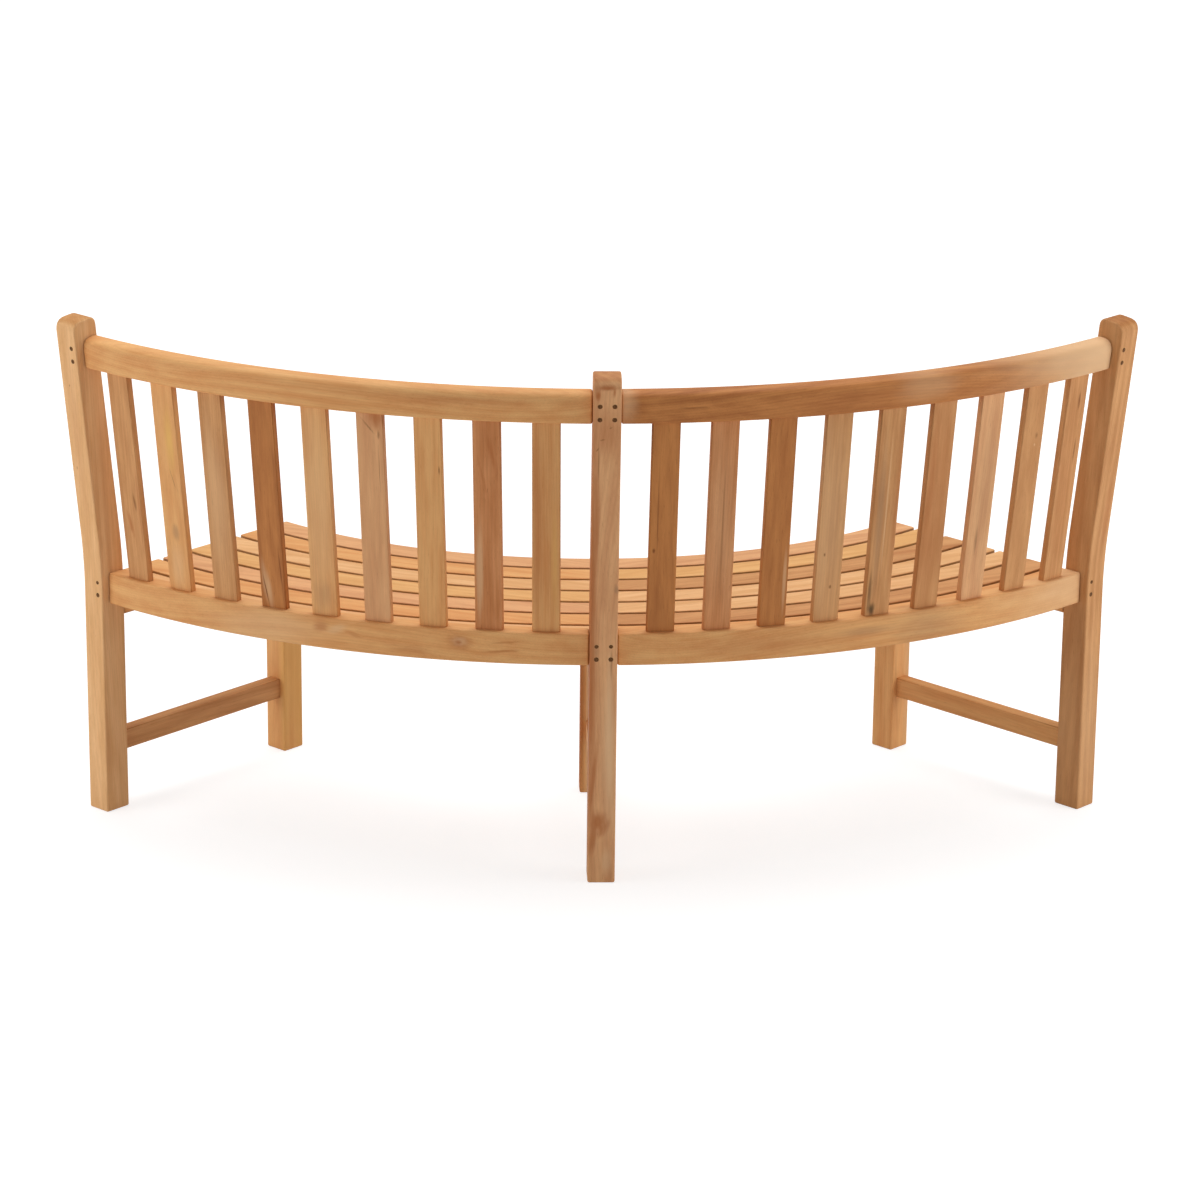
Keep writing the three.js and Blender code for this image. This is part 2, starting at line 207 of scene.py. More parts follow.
class Sawn(Enum):
    """How a board was cut: where the log's heart lies from its middle, in degrees from its face."""

    FLAT = 90.0
    RIFT = 48.0
    QUARTER = 8.0


class MarkKind(Enum):
    """What a mark in the wood is: its colour, and how far it pushes the rings aside, in metres."""

    KNOT = ("#6E3A14", 0.005)
    FLAME = ("#AC6232", 0.003)
    STREAK = ("#6F3F1C", 0.0)
    SAP = ("#E6B566", 0.002)
    STAIN = ("#A27A58", 0.0)
    MILDEW = ("#46361F", 0.0)
    BLOOM = ("#E4BC90", 0.0)

    @property
    def colour(self) -> str:
        """Its colour."""
        return self.value[0]

    @property
    def push(self) -> float:
        """How far it pushes the rings aside."""
        return self.value[1]


@dataclass(frozen=True)
class Mark:
    """A knot, streak or stain at one place in a board.

    Attributes:
        kind: What it is.
        along: Its place along the grain, from the board's middle.
        across: Its place across the face.
        reach: Half its length along the grain.
        spread: Half its width across the face.
        strength: How much of its colour it gives.
        turn: How far it is turned from the grain, in degrees, leftwards on a face that stands upright.
        through: Half its depth, which is more than any board's, so that it shows on the edges too.
        waves_along: How many waves its ragged outline has in its reach.
        waves_across: How many it has in its spread.
        raggedness: How far those waves push the outline, as a share of its size.
    """

    kind: MarkKind
    along: float
    across: float
    reach: float
    spread: float
    strength: float = 0.6
    turn: float = 0.0
    through: float = 100.0
    waves_along: float = 0.6
    waves_across: float = 1.4
    raggedness: float = 0.9


@dataclass(frozen=True)
class Grain:
    """The places in one board, and the noise from which its pattern is made.

    Attributes:
        tree: The material's node tree.
        place: Where a point lies along the grain, out of the face and across it.
        start: Where in the log the noise starts.
    """

    tree: bpy.types.NodeTree
    place: bpy.types.NodeSocket
    start: Vector

    def noise(self, scale: Point, detail: float) -> bpy.types.NodeSocket:
        """Adds noise.

        Args:
            scale: How often it repeats in a metre along, out of and across the board.
            detail: How many finer layers lie over it.

        Returns:
            The noise.
        """
        inputs = {0: self.place, 1: scale, 2: self.start}
        stretched = add_node(self.tree, "VectorMath", inputs, operation="MULTIPLY_ADD")
        layers = {"Vector": stretched, "Scale": 1.0, "Detail": detail, "Roughness": 0.55}
        return add_node(self.tree, "TexNoise", layers)

    def fade(self, mark: Mark) -> bpy.types.NodeSocket:
        """Adds the share of a mark at each point: full in its middle, and fading out unevenly.

        Args:
            mark: The mark.

        Returns:
            The share.
        """
        inputs = {
            "Vector": self.place,
            "Location": (mark.along, 0, mark.across),
            "Rotation": (0, math.radians(mark.turn), 0),
            "Scale": (mark.reach, mark.through, mark.spread),
        }
        own = add_node(self.tree, "Mapping", inputs, vector_type="TEXTURE")
        apart = add_node(self.tree, "VectorMath", {0: own}, operation="LENGTH")
        waves = mark.waves_across / mark.spread
        ragged = self.noise((mark.waves_along / mark.reach, waves, waves), 3.0)
        inputs = {0: ragged, 1: mark.raggedness, 2: apart}
        uneven = add_node(self.tree, "Math", inputs, operation="MULTIPLY_ADD")
        ranges = {"Value": uneven, "From Min": 1.45, "From Max": 0.55}
        return add_node(self.tree, "MapRange", ranges, **SMOOTH)


@dataclass(frozen=True)
class Teak:
    """Teak, planed and sanded, without oil: a dull, warm face with rings and fine pores along the grain.

    Scales say how often a pattern repeats in a metre along the grain, out of the face and across it.

    Attributes:
        tone: The board's colours.
        sawn: How it was cut, which sets whether the rings show as arches or as straight lines.
        seed: Which part of the log it is, so that no two boards are alike.
        marks: Its knots, streaks and stains.
        edges: How bright its edges are beside its face: below 1 this is painted shade on the sides, standing
            in for the shade in the gaps between boards.
        ring: Width of a year's ring.
        heart_distance: Least and greatest distance of the log's heart from the board's middle.
        heart_bearing: How far the cut may turn from its kind, in degrees.
        heart_slant: How far the heart may run askew of the board, as a share of its length.
        sways: Scale and size of the long and short sways of the rings.
        band_scale: Scale of the bands of dark and light years across the rings: 14 mm and more.
        blotch_scale: Scale of the blotches, of about 15 by 120 mm.
        fibre_scale: Scale of the fibres, of about 1 mm.
        pore_scale: Scale of the pores, drawn as dashes of 0.8 by 15 mm, coarser than real ones.
        log_size: Size of the stretch of noise in which boards start.
        band_weight: How much the bands count beside the blotches.
        line_strength: How much of its colour the late wood gives.
        line_depth: How deep the late wood lies beside the height of the fibres.
        relief: How much of lines and fibres can be seen as relief.
        fibre_shades: Brightness between and on the fibres.
        fibre_roughness: Roughness between and on the fibres.
        end_tint: Tint of the end grain, which soaks up more light.
    """

    tone: TeakTone
    sawn: Sawn
    seed: int
    marks: tuple[Mark, ...] = ()
    edges: float = 1.0
    ring: float = 0.0042
    heart_distance: Pair = (0.05, 0.1)
    heart_bearing: float = 9.0
    heart_slant: float = 0.022
    sways: tuple[tuple[Point, float], ...] = (((1.6, 9.0, 9.0), 0.012), ((7.0, 45.0, 45.0), 0.0012))
    band_scale: float = 68.0
    blotch_scale: Point = (8.0, 65.0, 65.0)
    fibre_scale: Point = (26.0, 950.0, 950.0)
    pore_scale: Point = (65.0, 1200.0, 1200.0)
    log_size: float = 400.0
    band_weight: float = 0.8
    line_strength: float = 0.10
    line_depth: float = 0.35
    relief: float = 0.35
    fibre_shades: Pair = (0.93, 1.04)
    fibre_roughness: Pair = (0.68, 0.56)
    end_tint: str = "#DCCCB6"

    def ring_distance(
        self,
        grain: Grain,
        fades: Sequence[tuple[Mark, bpy.types.NodeSocket]],
        chance: random.Random,
    ) -> bpy.types.NodeSocket:
        """Adds the distance from the log's heart, which runs a little askew of the board.

        Args:
            grain: The board's places and noise.
            fades: Its marks, which push the rings aside, each with its share at every point.
            chance: Draws where in the log the board was.

        Returns:
            The distance.
        """
        tree = grain.tree
        swing = chance.uniform(-self.heart_bearing, self.heart_bearing)
        bearing = math.radians(self.sawn.value + swing) * chance.choice((-1, 1))
        heart = Vector((0, math.sin(bearing), math.cos(bearing))) * chance.uniform(*self.heart_distance)
        slants = [chance.uniform(-self.heart_slant, self.heart_slant) for _ in range(2)]
        offset = add_node(tree, "VectorMath", {0: grain.place, 1: heart}, operation="SUBTRACT")
        inputs = {0: offset, 1: Vector((1, *slants)).normalized()}
        away = add_node(tree, "VectorMath", inputs, operation="CROSS_PRODUCT")
        distance = add_node(tree, "VectorMath", {0: away}, operation="LENGTH")
        pushes = [(grain.noise(scale, 2.0), size) for scale, size in self.sways]
        pushes += [(fade, mark.kind.push) for mark, fade in fades if mark.kind.push]
        for share, size in pushes:
            distance = add_node(tree, "Math", {0: share, 1: size, 2: distance}, operation="MULTIPLY_ADD")
        return distance

    def late_wood(self, tree: bpy.types.NodeTree, distance: bpy.types.NodeSocket) -> bpy.types.NodeSocket:
        """Adds a line at the end of each ring, soft on its inner side and sharp on its outer side.

        Args:
            tree: The material's node tree.
            distance: Distance from the log's heart.

        Returns:
            The share of late wood.
        """
        count = add_node(tree, "Math", {0: distance, 1: 1 / self.ring}, operation="MULTIPLY")
        share = add_node(tree, "Math", {0: count}, operation="FRACT")
        rise = add_node(tree, "MapRange", {"Value": share, "From Min": 0.35, "From Max": 0.88}, **SMOOTH)
        fall = add_node(tree, "MapRange", {"Value": share, "From Min": 1.0, "From Max": 0.9}, **SMOOTH)
        return add_node(tree, "Math", {0: rise, 1: fall}, operation="MULTIPLY")

    def clear_wood(
        self,
        grain: Grain,
        distance: bpy.types.NodeSocket,
        line: bpy.types.NodeSocket,
        fibre: bpy.types.NodeSocket,
    ) -> bpy.types.NodeSocket:
        """Adds the colour of the wood between its marks.

        Args:
            grain: The board's places and noise.
            distance: Distance from the log's heart.
            line: The share of late wood.
            fibre: The noise of its fibres.

        Returns:
            The colour.
        """
        tree = grain.tree
        light, dark, late = (linear(code) for code in self.tone.value)
        bands = {"W": distance, "Scale": self.band_scale, "Detail": 2.0, "Roughness": 0.6}
        band = add_node(tree, "TexNoise", bands, noise_dimensions="1D")
        blotch = grain.noise(self.blotch_scale, 3.0)
        both = add_node(tree, "Math", {0: band, 1: self.band_weight, 2: blotch}, operation="MULTIPLY_ADD")
        depth = add_node(tree, "MapRange", {"Value": both, "From Min": 0.55, "From Max": 1.25}, **SMOOTH)
        ground = add_node(tree, "Mix", {0: depth, 6: light, 7: dark}, **BLEND)
        strength = add_node(tree, "Math", {0: line, 1: self.line_strength}, operation="MULTIPLY")
        ringed = add_node(tree, "Mix", {0: strength, 6: ground, 7: late}, **BLEND)
        low, high = self.fibre_shades
        shade = add_node(tree, "MapRange", {"Value": fibre, **NOISE_SPAN, "To Min": low, "To Max": high})
        fibred = add_node(tree, "Mix", {0: 1.0, 6: ringed, 7: shade}, **TINT)
        pore = grain.noise(self.pore_scale, 1.0)
        dash = add_node(tree, "MapRange", {"Value": pore, "From Min": 0.66, "From Max": 0.78, "To Max": 0.5})
        return add_node(tree, "Mix", {0: dash, 6: fibred, 7: late}, **BLEND)

    def tint_ends_and_shade_sides(
        self,
        tree: bpy.types.NodeTree,
        colour: bpy.types.NodeSocket,
        plank: Matrix,
    ) -> bpy.types.NodeSocket:
        """Darkens the end grain, and paints shade on the edges, standing in for the shade in the gaps
        between boards.

        Args:
            tree: The material's node tree.
            colour: The wood's colour.
            plank: The board's own axes in the bench's frame.

        Returns:
            The colour with both.
        """
        normal = add_node(tree, "TexCoord", wanted="Normal")
        facings = []
        for axis in (Vector((1, 0, 0)), Vector((0, 1, 0))):
            inputs = {0: normal, 1: plank.to_3x3() @ axis}
            facing = add_node(tree, "VectorMath", inputs, operation="DOT_PRODUCT")
            facings.append(add_node(tree, "Math", {0: facing}, operation="ABSOLUTE"))
        along, out = facings
        end = add_node(tree, "MapRange", {"Value": along, "From Min": 0.5, "From Max": 0.95}, **SMOOTH)
        colour = add_node(tree, "Mix", {0: end, 6: colour, 7: linear(self.end_tint)}, **TINT)
        # Faces that don't look out of the board's face are darkened by the edges factor: painted shade for
        # the gaps between boards
        painted_side_shade = {"Value": out, "From Min": 0.2, "From Max": 0.7, "To Min": self.edges, "To Max": 1.0}
        return add_node(tree, "Mix", {0: 1.0, 6: colour, 7: add_node(tree, "MapRange", painted_side_shade)}, **TINT)

    def material(self, name: str, plank: Matrix) -> bpy.types.Material:
        """Makes the board's material.

        Args:
            name: The material's name.
            plank: The board's own axes in the bench's frame: X along the grain, Y out of its face.

        Returns:
            The material, whose pattern is fixed to those axes.
        """
        made = bpy.data.materials.new(name)
        tree = empty_tree(made)
        chance = random.Random(self.seed)
        inputs = {
            "Vector": add_node(tree, "TexCoord", wanted="Object"),
            "Location": plank.translation,
            "Rotation": plank.to_euler("XYZ"),
        }
        place = add_node(tree, "Mapping", inputs, vector_type="TEXTURE")
        start = Vector(chance.uniform(-self.log_size, self.log_size) for _ in range(3))
        grain = Grain(tree, place, start)
        fades = [(mark, grain.fade(mark)) for mark in self.marks]
        distance = self.ring_distance(grain, fades, chance)
        line = self.late_wood(tree, distance)
        fibre = grain.noise(self.fibre_scale, 3.0)
        colour = self.clear_wood(grain, distance, line, fibre)
        for mark, fade in fades:
            share = add_node(tree, "Math", {0: fade, 1: mark.strength}, operation="MULTIPLY")
            colour = add_node(tree, "Mix", {0: share, 6: colour, 7: linear(mark.kind.colour)}, **BLEND)
        colour = self.tint_ends_and_shade_sides(tree, colour, plank)
        height = add_node(tree, "Math", {0: line, 1: -self.line_depth, 2: fibre}, operation="MULTIPLY_ADD")
        finish_wood(tree, colour, fibre, self.fibre_roughness, height, self.relief)
        return made


@dataclass(frozen=True)
class DowelEnd:
    """End of a hardwood dowel, cut flush and sanded: dark end grain that has soaked up glue and dust.

    Attributes:
        dark: Colour of its specks.
        light: Colour between them.
        speck_scale: How often the specks repeat in a metre: they are about 1 mm across.
        roughness: Roughness on and between the specks.
        relief: How much of the specks can be seen as relief.
    """

    dark: str = "#452911"
    light: str = "#80562F"
    speck_scale: float = 700.0
    roughness: Pair = (0.8, 0.65)
    relief: float = 0.4

    def material(self, name: str) -> bpy.types.Material:
        """Makes the material of the dowel ends.

        Args:
            name: The material's name.

        Returns:
            The material.
        """
        made = bpy.data.materials.new(name)
        tree = empty_tree(made)
        place = add_node(tree, "TexCoord", wanted="Object")
        layers = {"Vector": place, "Scale": self.speck_scale, "Detail": 3.0, "Roughness": 0.6}
        specks = add_node(tree, "TexNoise", layers)
        share = add_node(tree, "MapRange", {"Value": specks, "From Min": 0.35, "From Max": 0.65}, **SMOOTH)
        colour = add_node(tree, "Mix", {0: share, 6: linear(self.dark), 7: linear(self.light)}, **BLEND)
        finish_wood(tree, colour, specks, self.roughness, specks, self.relief)
        return made


# Shapes


def rounded(corners: Sequence[Corner], steps: int = 7) -> list[Pair]:
    """Draws a closed path through corners, each rounded by a parabola.

    Args:
        corners: Two coordinates of each corner, and the length that its rounding takes on either side.
        steps: How many steps a rounding has.

    Returns:
        The path's points.
    """
    points = [Vector(corner[:2]) for corner in corners]
    path = []
    for index, corner in enumerate(points):
        length = corners[index][2]
        if not length:
            path.append(tuple(corner))
            continue
        start, end = (
            corner.lerp(near, min(length / (near - corner).length, 0.5))
            for near in (points[index - 1], points[(index + 1) % len(points)])
        )
        for step in range(steps + 1):
            share = step / steps
            path.append(tuple(start.lerp(corner, share).lerp(corner.lerp(end, share), share)))
    return path


def closed_rings(rings: Sequence[Sequence[Point]]) -> bmesh.types.BMesh:
    """Joins rings of as many points each into a closed shape with a face at either end.

    Args:
        rings: The points of each ring in turn.

    Returns:
        The shape.
    """
    shape = bmesh.new()
    made = [[shape.verts.new(point) for point in ring] for ring in rings]
    shape.faces.new(made[0])
    shape.faces.new(reversed(made[-1]))
    for near, far in zip(made, made[1:]):
        for index in range(len(near)):
            following = (index + 1) % len(near)
            shape.faces.new((near[index], far[index], far[following], near[following]))
    bmesh.ops.recalc_face_normals(shape, faces=shape.faces[:])
    return shape


def straight(outline: Sequence[Pair], low: float, high: float) -> bmesh.types.BMesh:
    """Draws a board whose outline is given in radius and height, and whose thickness is along the arc.

    Args:
        outline: The outline's path.
        low: Where its thickness starts.
        high: Where its thickness ends.

    Returns:
        The shape.
    """
    return closed_rings([[(x, radius, height) for radius, height in outline] for x in (low, high)])


def box_outline(inner: float, outer: float, bottom: float, top: float) -> list[Pair]:
    """Draws the outline of a board that is square in radius and height."""
    return [(inner, bottom), (outer, bottom), (outer, top), (inner, top)]


@dataclass(frozen=True)
class ArcPlan:
    """Plan of the arc: where its centre lies, and how the boards that follow it are drawn.

    Attributes:
        centre: Place of the arc's centre along Y.
        bay_angle: Angle between two leg frames.
        back_radius: Radius of the posts' back faces.
        bend_height: Height at which the posts bend.
        rake: How far the back leans outwards above the bend.
        support_top: Height of what carries the seat.
        fit: Clearance between two boards.
        steps: Steps of a curved board.
    """

    centre: float
    bay_angle: float = math.radians(44.3)
    back_radius: float = 1.240
    bend_height: float = 0.453
    rake: float = math.radians(6.57)
    support_top: float = 0.4057
    fit: float = 0.0003
    steps: int = 48

    def at(self, angle: float) -> Matrix:
        """Gives the axes of a spoke of the arc: X along the arc, Y outwards, from the arc's centre."""
        return Matrix.Translation((0, self.centre, 0)) @ Matrix.Rotation(-angle, 4, "Z")

    def raked(self, depth: float, along: float) -> Pair:
        """Gives the radius and height of a point of the raked back.

        Args:
            depth: How far it lies in from the posts' back faces.
            along: How far it lies up those faces from the bend.

        Returns:
            Its radius and its height.
        """
        sine, cosine = math.sin(self.rake), math.cos(self.rake)
        return (
            self.back_radius + along * sine - depth * cosine,
            self.bend_height + along * cosine + depth * sine,
        )

    def along_at(self, depth: float, height: float) -> float:
        """Gives how far up the raked faces a point of a given depth reaches a given height."""
        return (height - self.bend_height - depth * math.sin(self.rake)) / math.cos(self.rake)

    def curved(self, section: Sequence[Pair], end_gap: float) -> bmesh.types.BMesh:
        """Sweeps a section along a bay. Its plane ends are parallel to the leg frames.

        Args:
            section: The section's path in radius and height.
            end_gap: How far the ends stay from the leg frames' centre planes.

        Returns:
            The shape.
        """
        rings = []
        for step in range(self.steps + 1):
            ring = []
            for radius, height in section:
                end = self.bay_angle / 2 - math.asin(end_gap / radius)
                angle = end * (2 * step / self.steps - 1)
                ring.append((radius * math.sin(angle), radius * math.cos(angle), height))
            rings.append(ring)
        return closed_rings(rings)


# Boards and the assemblies that they belong to

# Edges sharper than this are eased, and a face that looks along the grain by this share is an end
SHARP_ANGLE = math.radians(30)
END_SHARE = 0.9

# Steps of an eased edge, and how firmly the wide faces keep their flat shading beside it
ARRIS_STEPS = 3
FLATNESS = 60


def seated(piece: bpy.types.Object, slot: str, *nodes: str) -> bpy.types.Object:
    """Seats a piece on the bench in place of its CAD nodes, and reports it.

    Args:
        piece: The piece.
        slot: The record's material slot. Not used.
        nodes: The CAD nodes for which it stands.

    Returns:
        The piece.
    """
    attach(piece, BODY)
    if nodes:
        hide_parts(*nodes)
    log.info("%s: %d faces, for %s", piece.name, len(piece.data.polygons), ", ".join(nodes) or "no node")
    return piece


@dataclass
class Board:
    """One finished board.

    Attributes:
        name: The piece's name.
        node: The CAD node for which it stands.
        slot: The record's material slot.
        shape: Its mesh, drawn in the axes of a leg frame or bay.
        axes: Those axes in the bench's frame.
        middle: The board's middle, in the axes of the leg frame or bay.
        grain: Direction of its grain there.
        face: Direction out of its widest face there.
        finish: Its wood.
        arris: Radius to which its edges are eased.
        square_ends: True if its ends butt against another board and keep their edges.
    """

    name: str
    node: str
    slot: str
    shape: bmesh.types.BMesh
    axes: Matrix
    middle: Vector
    grain: Vector
    face: Vector
    finish: Teak
    arris: float
    square_ends: bool = False

    def plank(self) -> Matrix:
        """Places the board's own axes: X along its grain, Y out of its face.

        Returns:
            Those axes in the bench's frame.
        """
        along = self.grain.normalized()
        across = along.cross(self.face).normalized()
        own = Matrix((along, across.cross(along), across)).transposed().to_4x4()
        return self.axes @ Matrix.Translation(self.middle) @ own

    def weigh_edges(self) -> None:
        """Picks the edges that are eased: the sharp ones, but not those of ends that stay square."""
        weight = self.shape.edges.layers.float.new("bevel_weight_edge")
        along = self.grain.normalized()
        for edge in self.shape.edges:
            sharp = edge.calc_face_angle() > SHARP_ANGLE
            butts = any(abs(face.normal.dot(along)) > END_SHARE for face in edge.link_faces)
            edge[weight] = float(sharp and not (self.square_ends and butts))

    def eased(self, piece: bpy.types.Object) -> bpy.types.Mesh:
        """Eases the picked edges, and shades the wide faces flat between them.

        Args:
            piece: The piece with its drawn mesh.

        Returns:
            The finished mesh.
        """
        ease = piece.modifiers.new("eased arrises", "BEVEL")
        ease.limit_method = "WEIGHT"
        ease.width = self.arris
        ease.segments = ARRIS_STEPS
        ease.use_clamp_overlap = True
        even = piece.modifiers.new("even shading", "WEIGHTED_NORMAL")
        even.weight = FLATNESS
        bpy.context.view_layer.update()
        graph = bpy.context.evaluated_depsgraph_get()
        smooth = bpy.data.meshes.new_from_object(
            piece.evaluated_get(graph),
            preserve_all_data_layers=True,
            depsgraph=graph,
        )
        piece.modifiers.clear()
        return smooth

    def finished(self) -> bpy.types.Object:
        """Makes the piece: eases its edges, gives it its wood and seats it on the bench.

        Returns:
            The piece.
        """
        self.weigh_edges()
        for surface in self.shape.faces:
            surface.smooth = True
        self.shape.transform(self.axes)
        drawn = bpy.data.meshes.new(f"{self.name}_drawn")
        self.shape.to_mesh(drawn)
        self.shape.free()
        piece = add_object(self.name, drawn)
        piece.data = self.eased(piece)
        piece.data.name = self.name
        bpy.data.meshes.remove(drawn)
        wood = self.finish.material(f"teak, planed and sanded, {self.name}", self.plank())
        piece.data.materials.clear()
        piece.data.materials.append(wood)
        return seated(piece, self.slot, self.node)


@dataclass(frozen=True)
class Dowel:
    """Visible end of a dowel: a slightly domed disc with an eased rim, set into the board.

    Attributes:
        name: The piece's name.
        radius: The dowel's radius.
        proud: How far the middle of its end stands out of the board.
        buried: How deep the piece reaches into the board.
        dome_shares: Radius and height of the dome's steps, as shares of the radius and of the stand.
        sides: Number of sides.
    """

    name: str
    radius: float
    proud: float = 0.0004
    buried: float = 0.006
    dome_shares: tuple[Pair, ...] = ((1.0, 0.2), (0.92, 0.6), (0.6, 0.9), (0.2, 1.0))
    sides: int = 20

    def made(self, middle: Vector, out: Vector, material: bpy.types.Material) -> bpy.types.Object:
        """Makes the dowel end.

        Args:
            middle: Middle of the end in the bench's frame.
            out: Direction that it faces.
            material: Its material.

        Returns:
            The piece, not yet seated.
        """
        dome = [(self.radius * wide, self.proud * high) for wide, high in self.dome_shares]
        profile = [(self.radius, -self.buried), *dome]
        turns = [math.tau * side / self.sides for side in range(self.sides)]
        rings = [[(r * math.cos(turn), r * math.sin(turn), z) for turn in turns] for r, z in profile]
        shape = closed_rings(rings)
        # Only the two ends have more than four corners, and they stay flat
        for surface in shape.faces:
            surface.smooth = len(surface.verts) == 4
        turn = out.to_track_quat("Z", "Y").to_matrix().to_4x4()
        shape.transform(Matrix.Translation(middle) @ turn)
        mesh = bpy.data.meshes.new(self.name)
        shape.to_mesh(mesh)
        shape.free()
        mesh.materials.append(material)
        return add_object(self.name, mesh)


class Side(Enum):
    """Sides of the bench, as they are named in the CAD."""

    LEFT = "left"
    CENTRE = "centre"
    RIGHT = "right"


@dataclass
class Assembly:
    """Boards that are drawn about one spoke of the arc.

    Attributes:
        plan: The arc.
        side: Which assembly of its kind it is.
        angle: Angle of its spoke.
    """

    plan: ArcPlan
    side: Side
    angle: float

    def board(
        self,
        kind: str,
        slot: str,
        shape: bmesh.types.BMesh,
        number: int = 0,
        turn: float = 0.0,
        **rest: object,
    ) -> Board:
        """Gives one of its boards.

        Args:
            kind: Its name without the side.
            slot: The record's material slot.
            shape: Its mesh.
            number: Its number, if it has one.
            turn: Angle between its own spoke and the assembly's.
            rest: Its other attributes.

        Returns:
            The board.
        """
        side, ending = self.side.value, f"_{number}" if number else ""
        axes = self.plan.at(self.angle + turn)
        return Board(f"{side}_{kind}{ending}", f"{kind}_{side}{ending}", slot, shape, axes, **rest)


# Leg frames


@dataclass
class LegFrame(Assembly):
    """Back post, front leg, seat bearer and stretcher on one spoke of the arc, with the post's dowels.

    Attributes:
        joined: The sides, along X, on which bays join it.
        woods: The wood of its post, leg, bearer and stretcher.
    """

    joined: tuple[int, ...]
    woods: tuple[Teak, Teak, Teak, Teak]
    post_width: float = 0.046
    post_depth: float = 0.051
    post_height: float = 0.8929
    post_back_round: float = 0.0205
    post_front_round: float = 0.016
    post_steps: int = 10
    bend_reach: float = 0.055
    post_arris: float = 0.003
    frame_depth: float = 0.474
    leg_depth: float = 0.046
    leg_arris: float = 0.003
    bearer_height: float = 0.052
    end_bearer_width: float = 0.028
    bearer_arris: float = 0.0015
    stretcher_width: float = 0.025
    stretcher_height: float = 0.036
    stretcher_floor_gap: float = 0.101
    stretcher_arris: float = 0.002
    dowel_radius: float = 0.004
    dowel_offset: float = 0.012
    dowel_spacing: float = 0.023
    lower_dowel_height: float = 0.40825
    top_dowel_drop: float = 0.05775

    @property
    def post_top(self) -> float:
        """How far the post's back face runs above the bend."""
        lift = (self.post_depth - self.post_front_round) * math.sin(self.plan.rake)
        return (self.post_height - self.plan.bend_height - lift) / math.cos(self.plan.rake)

    @property
    def post_front(self) -> float:
        """Radius of the post's front face below the bend."""
        return self.plan.back_radius - self.post_depth

    @property
    def leg_back(self) -> float:
        """Radius of the front leg's back face."""
        return self.plan.back_radius - self.frame_depth + self.leg_depth

    @property
    def between(self) -> Pair:
        """Where a board starts and ends that fits between the leg and the post."""
        return self.leg_back + self.plan.fit, self.post_front - self.plan.fit

    def back_post(self) -> Board:
        """Draws the post: upright to the bend, then raked outwards to a rounded top.

        Returns:
            The board.
        """
        rake = self.plan.rake
        slant = self.post_depth * (1 - math.cos(rake)) / math.sin(rake)
        corners = [
            (self.post_front, 0, 0),
            (self.plan.back_radius, 0, 0),
            (self.plan.back_radius, self.plan.bend_height, self.bend_reach),
            (*self.plan.raked(0, self.post_top), self.post_back_round),
            (*self.plan.raked(self.post_depth, self.post_top), self.post_front_round),
            (self.post_front, self.plan.bend_height + slant, self.bend_reach),
        ]
        half = self.post_width / 2
        foot = Vector((0, (self.post_front + self.plan.back_radius) / 2, 0))
        head = Vector((0, *self.plan.raked(self.post_depth / 2, self.post_top)))
        return self.board(
            "back_post",
            "post_teak",
            straight(rounded(corners, self.post_steps), -half, half),
            middle=(foot + head) / 2,
            grain=head - foot,
            face=OUT,
            finish=self.woods[0],
            arris=self.post_arris,
        )

    def front_leg(self) -> Board:
        """Draws the front leg, up to the underside of the seat.

        Returns:
            The board.
        """
        half, top = self.post_width / 2, self.plan.support_top
        front = self.leg_back - self.leg_depth
        return self.board(
            "front_leg",
            "post_teak",
            straight(box_outline(front, self.leg_back, 0, top), -half, half),
            middle=Vector((0, front + self.leg_depth / 2, top / 2)),
            grain=UP,
            face=OUT,
            finish=self.woods[1],
            arris=self.leg_arris,
        )

    def seat_bearer(self) -> Board:
        """Draws the bearer under the seat: as wide as the leg between two bays, and narrow at the ends.

        Returns:
            The board.
        """
        inside = len(self.joined) > 1
        width = self.post_width if inside else self.end_bearer_width
        middle = 0.0 if inside else self.joined[0] * (self.post_width - width) / 2
        (inner, outer), top = self.between, self.plan.support_top
        outline = box_outline(inner, outer, top - self.bearer_height, top)
        return self.board(
            "seat_bearer",
            "rail_teak",
            straight(outline, middle - width / 2, middle + width / 2),
            middle=Vector((middle, (inner + outer) / 2, top - self.bearer_height / 2)),
            grain=OUT,
            face=ALONG_ARC,
            finish=self.woods[2],
            arris=self.bearer_arris,
            square_ends=True,
        )

    def stretcher(self) -> Board:
        """Draws the stretcher, low between the leg and the post.

        Returns:
            The board.
        """
        half = self.stretcher_width / 2
        inner, outer = self.between
        bottom, top = self.stretcher_floor_gap, self.stretcher_floor_gap + self.stretcher_height
        return self.board(
            "stretcher",
            "rail_teak",
            straight(box_outline(inner, outer, bottom, top), -half, half),
            middle=Vector((0, (inner + outer) / 2, (bottom + top) / 2)),
            grain=OUT,
            face=ALONG_ARC,
            finish=self.woods[3],
            arris=self.stretcher_arris,
            square_ends=True,
        )

    def dowels(self) -> Iterator[tuple[str, Vector, Vector]]:
        """Places the dowels in the order of the CAD: from side to side, and upwards on each side.

        Yields:
            Each dowel's name, the middle of its end and the direction that the end faces.
        """
        raked_out = Vector((0, math.cos(self.plan.rake), -math.sin(self.plan.rake)))
        places = [(side, row) for side in self.joined for row in (-0.5, 0.5)]
        for number, (side, row) in enumerate(places, 1):
            x = side * self.dowel_offset
            along = self.post_top - self.top_dowel_drop + row * self.dowel_spacing
            yield f"top_rail_pin_{number}", Vector((x, *self.plan.raked(0, along))), raked_out
            height = self.lower_dowel_height + row * self.dowel_spacing
            yield f"lower_rail_pin_{number}", Vector((x, self.plan.back_radius, height)), OUT

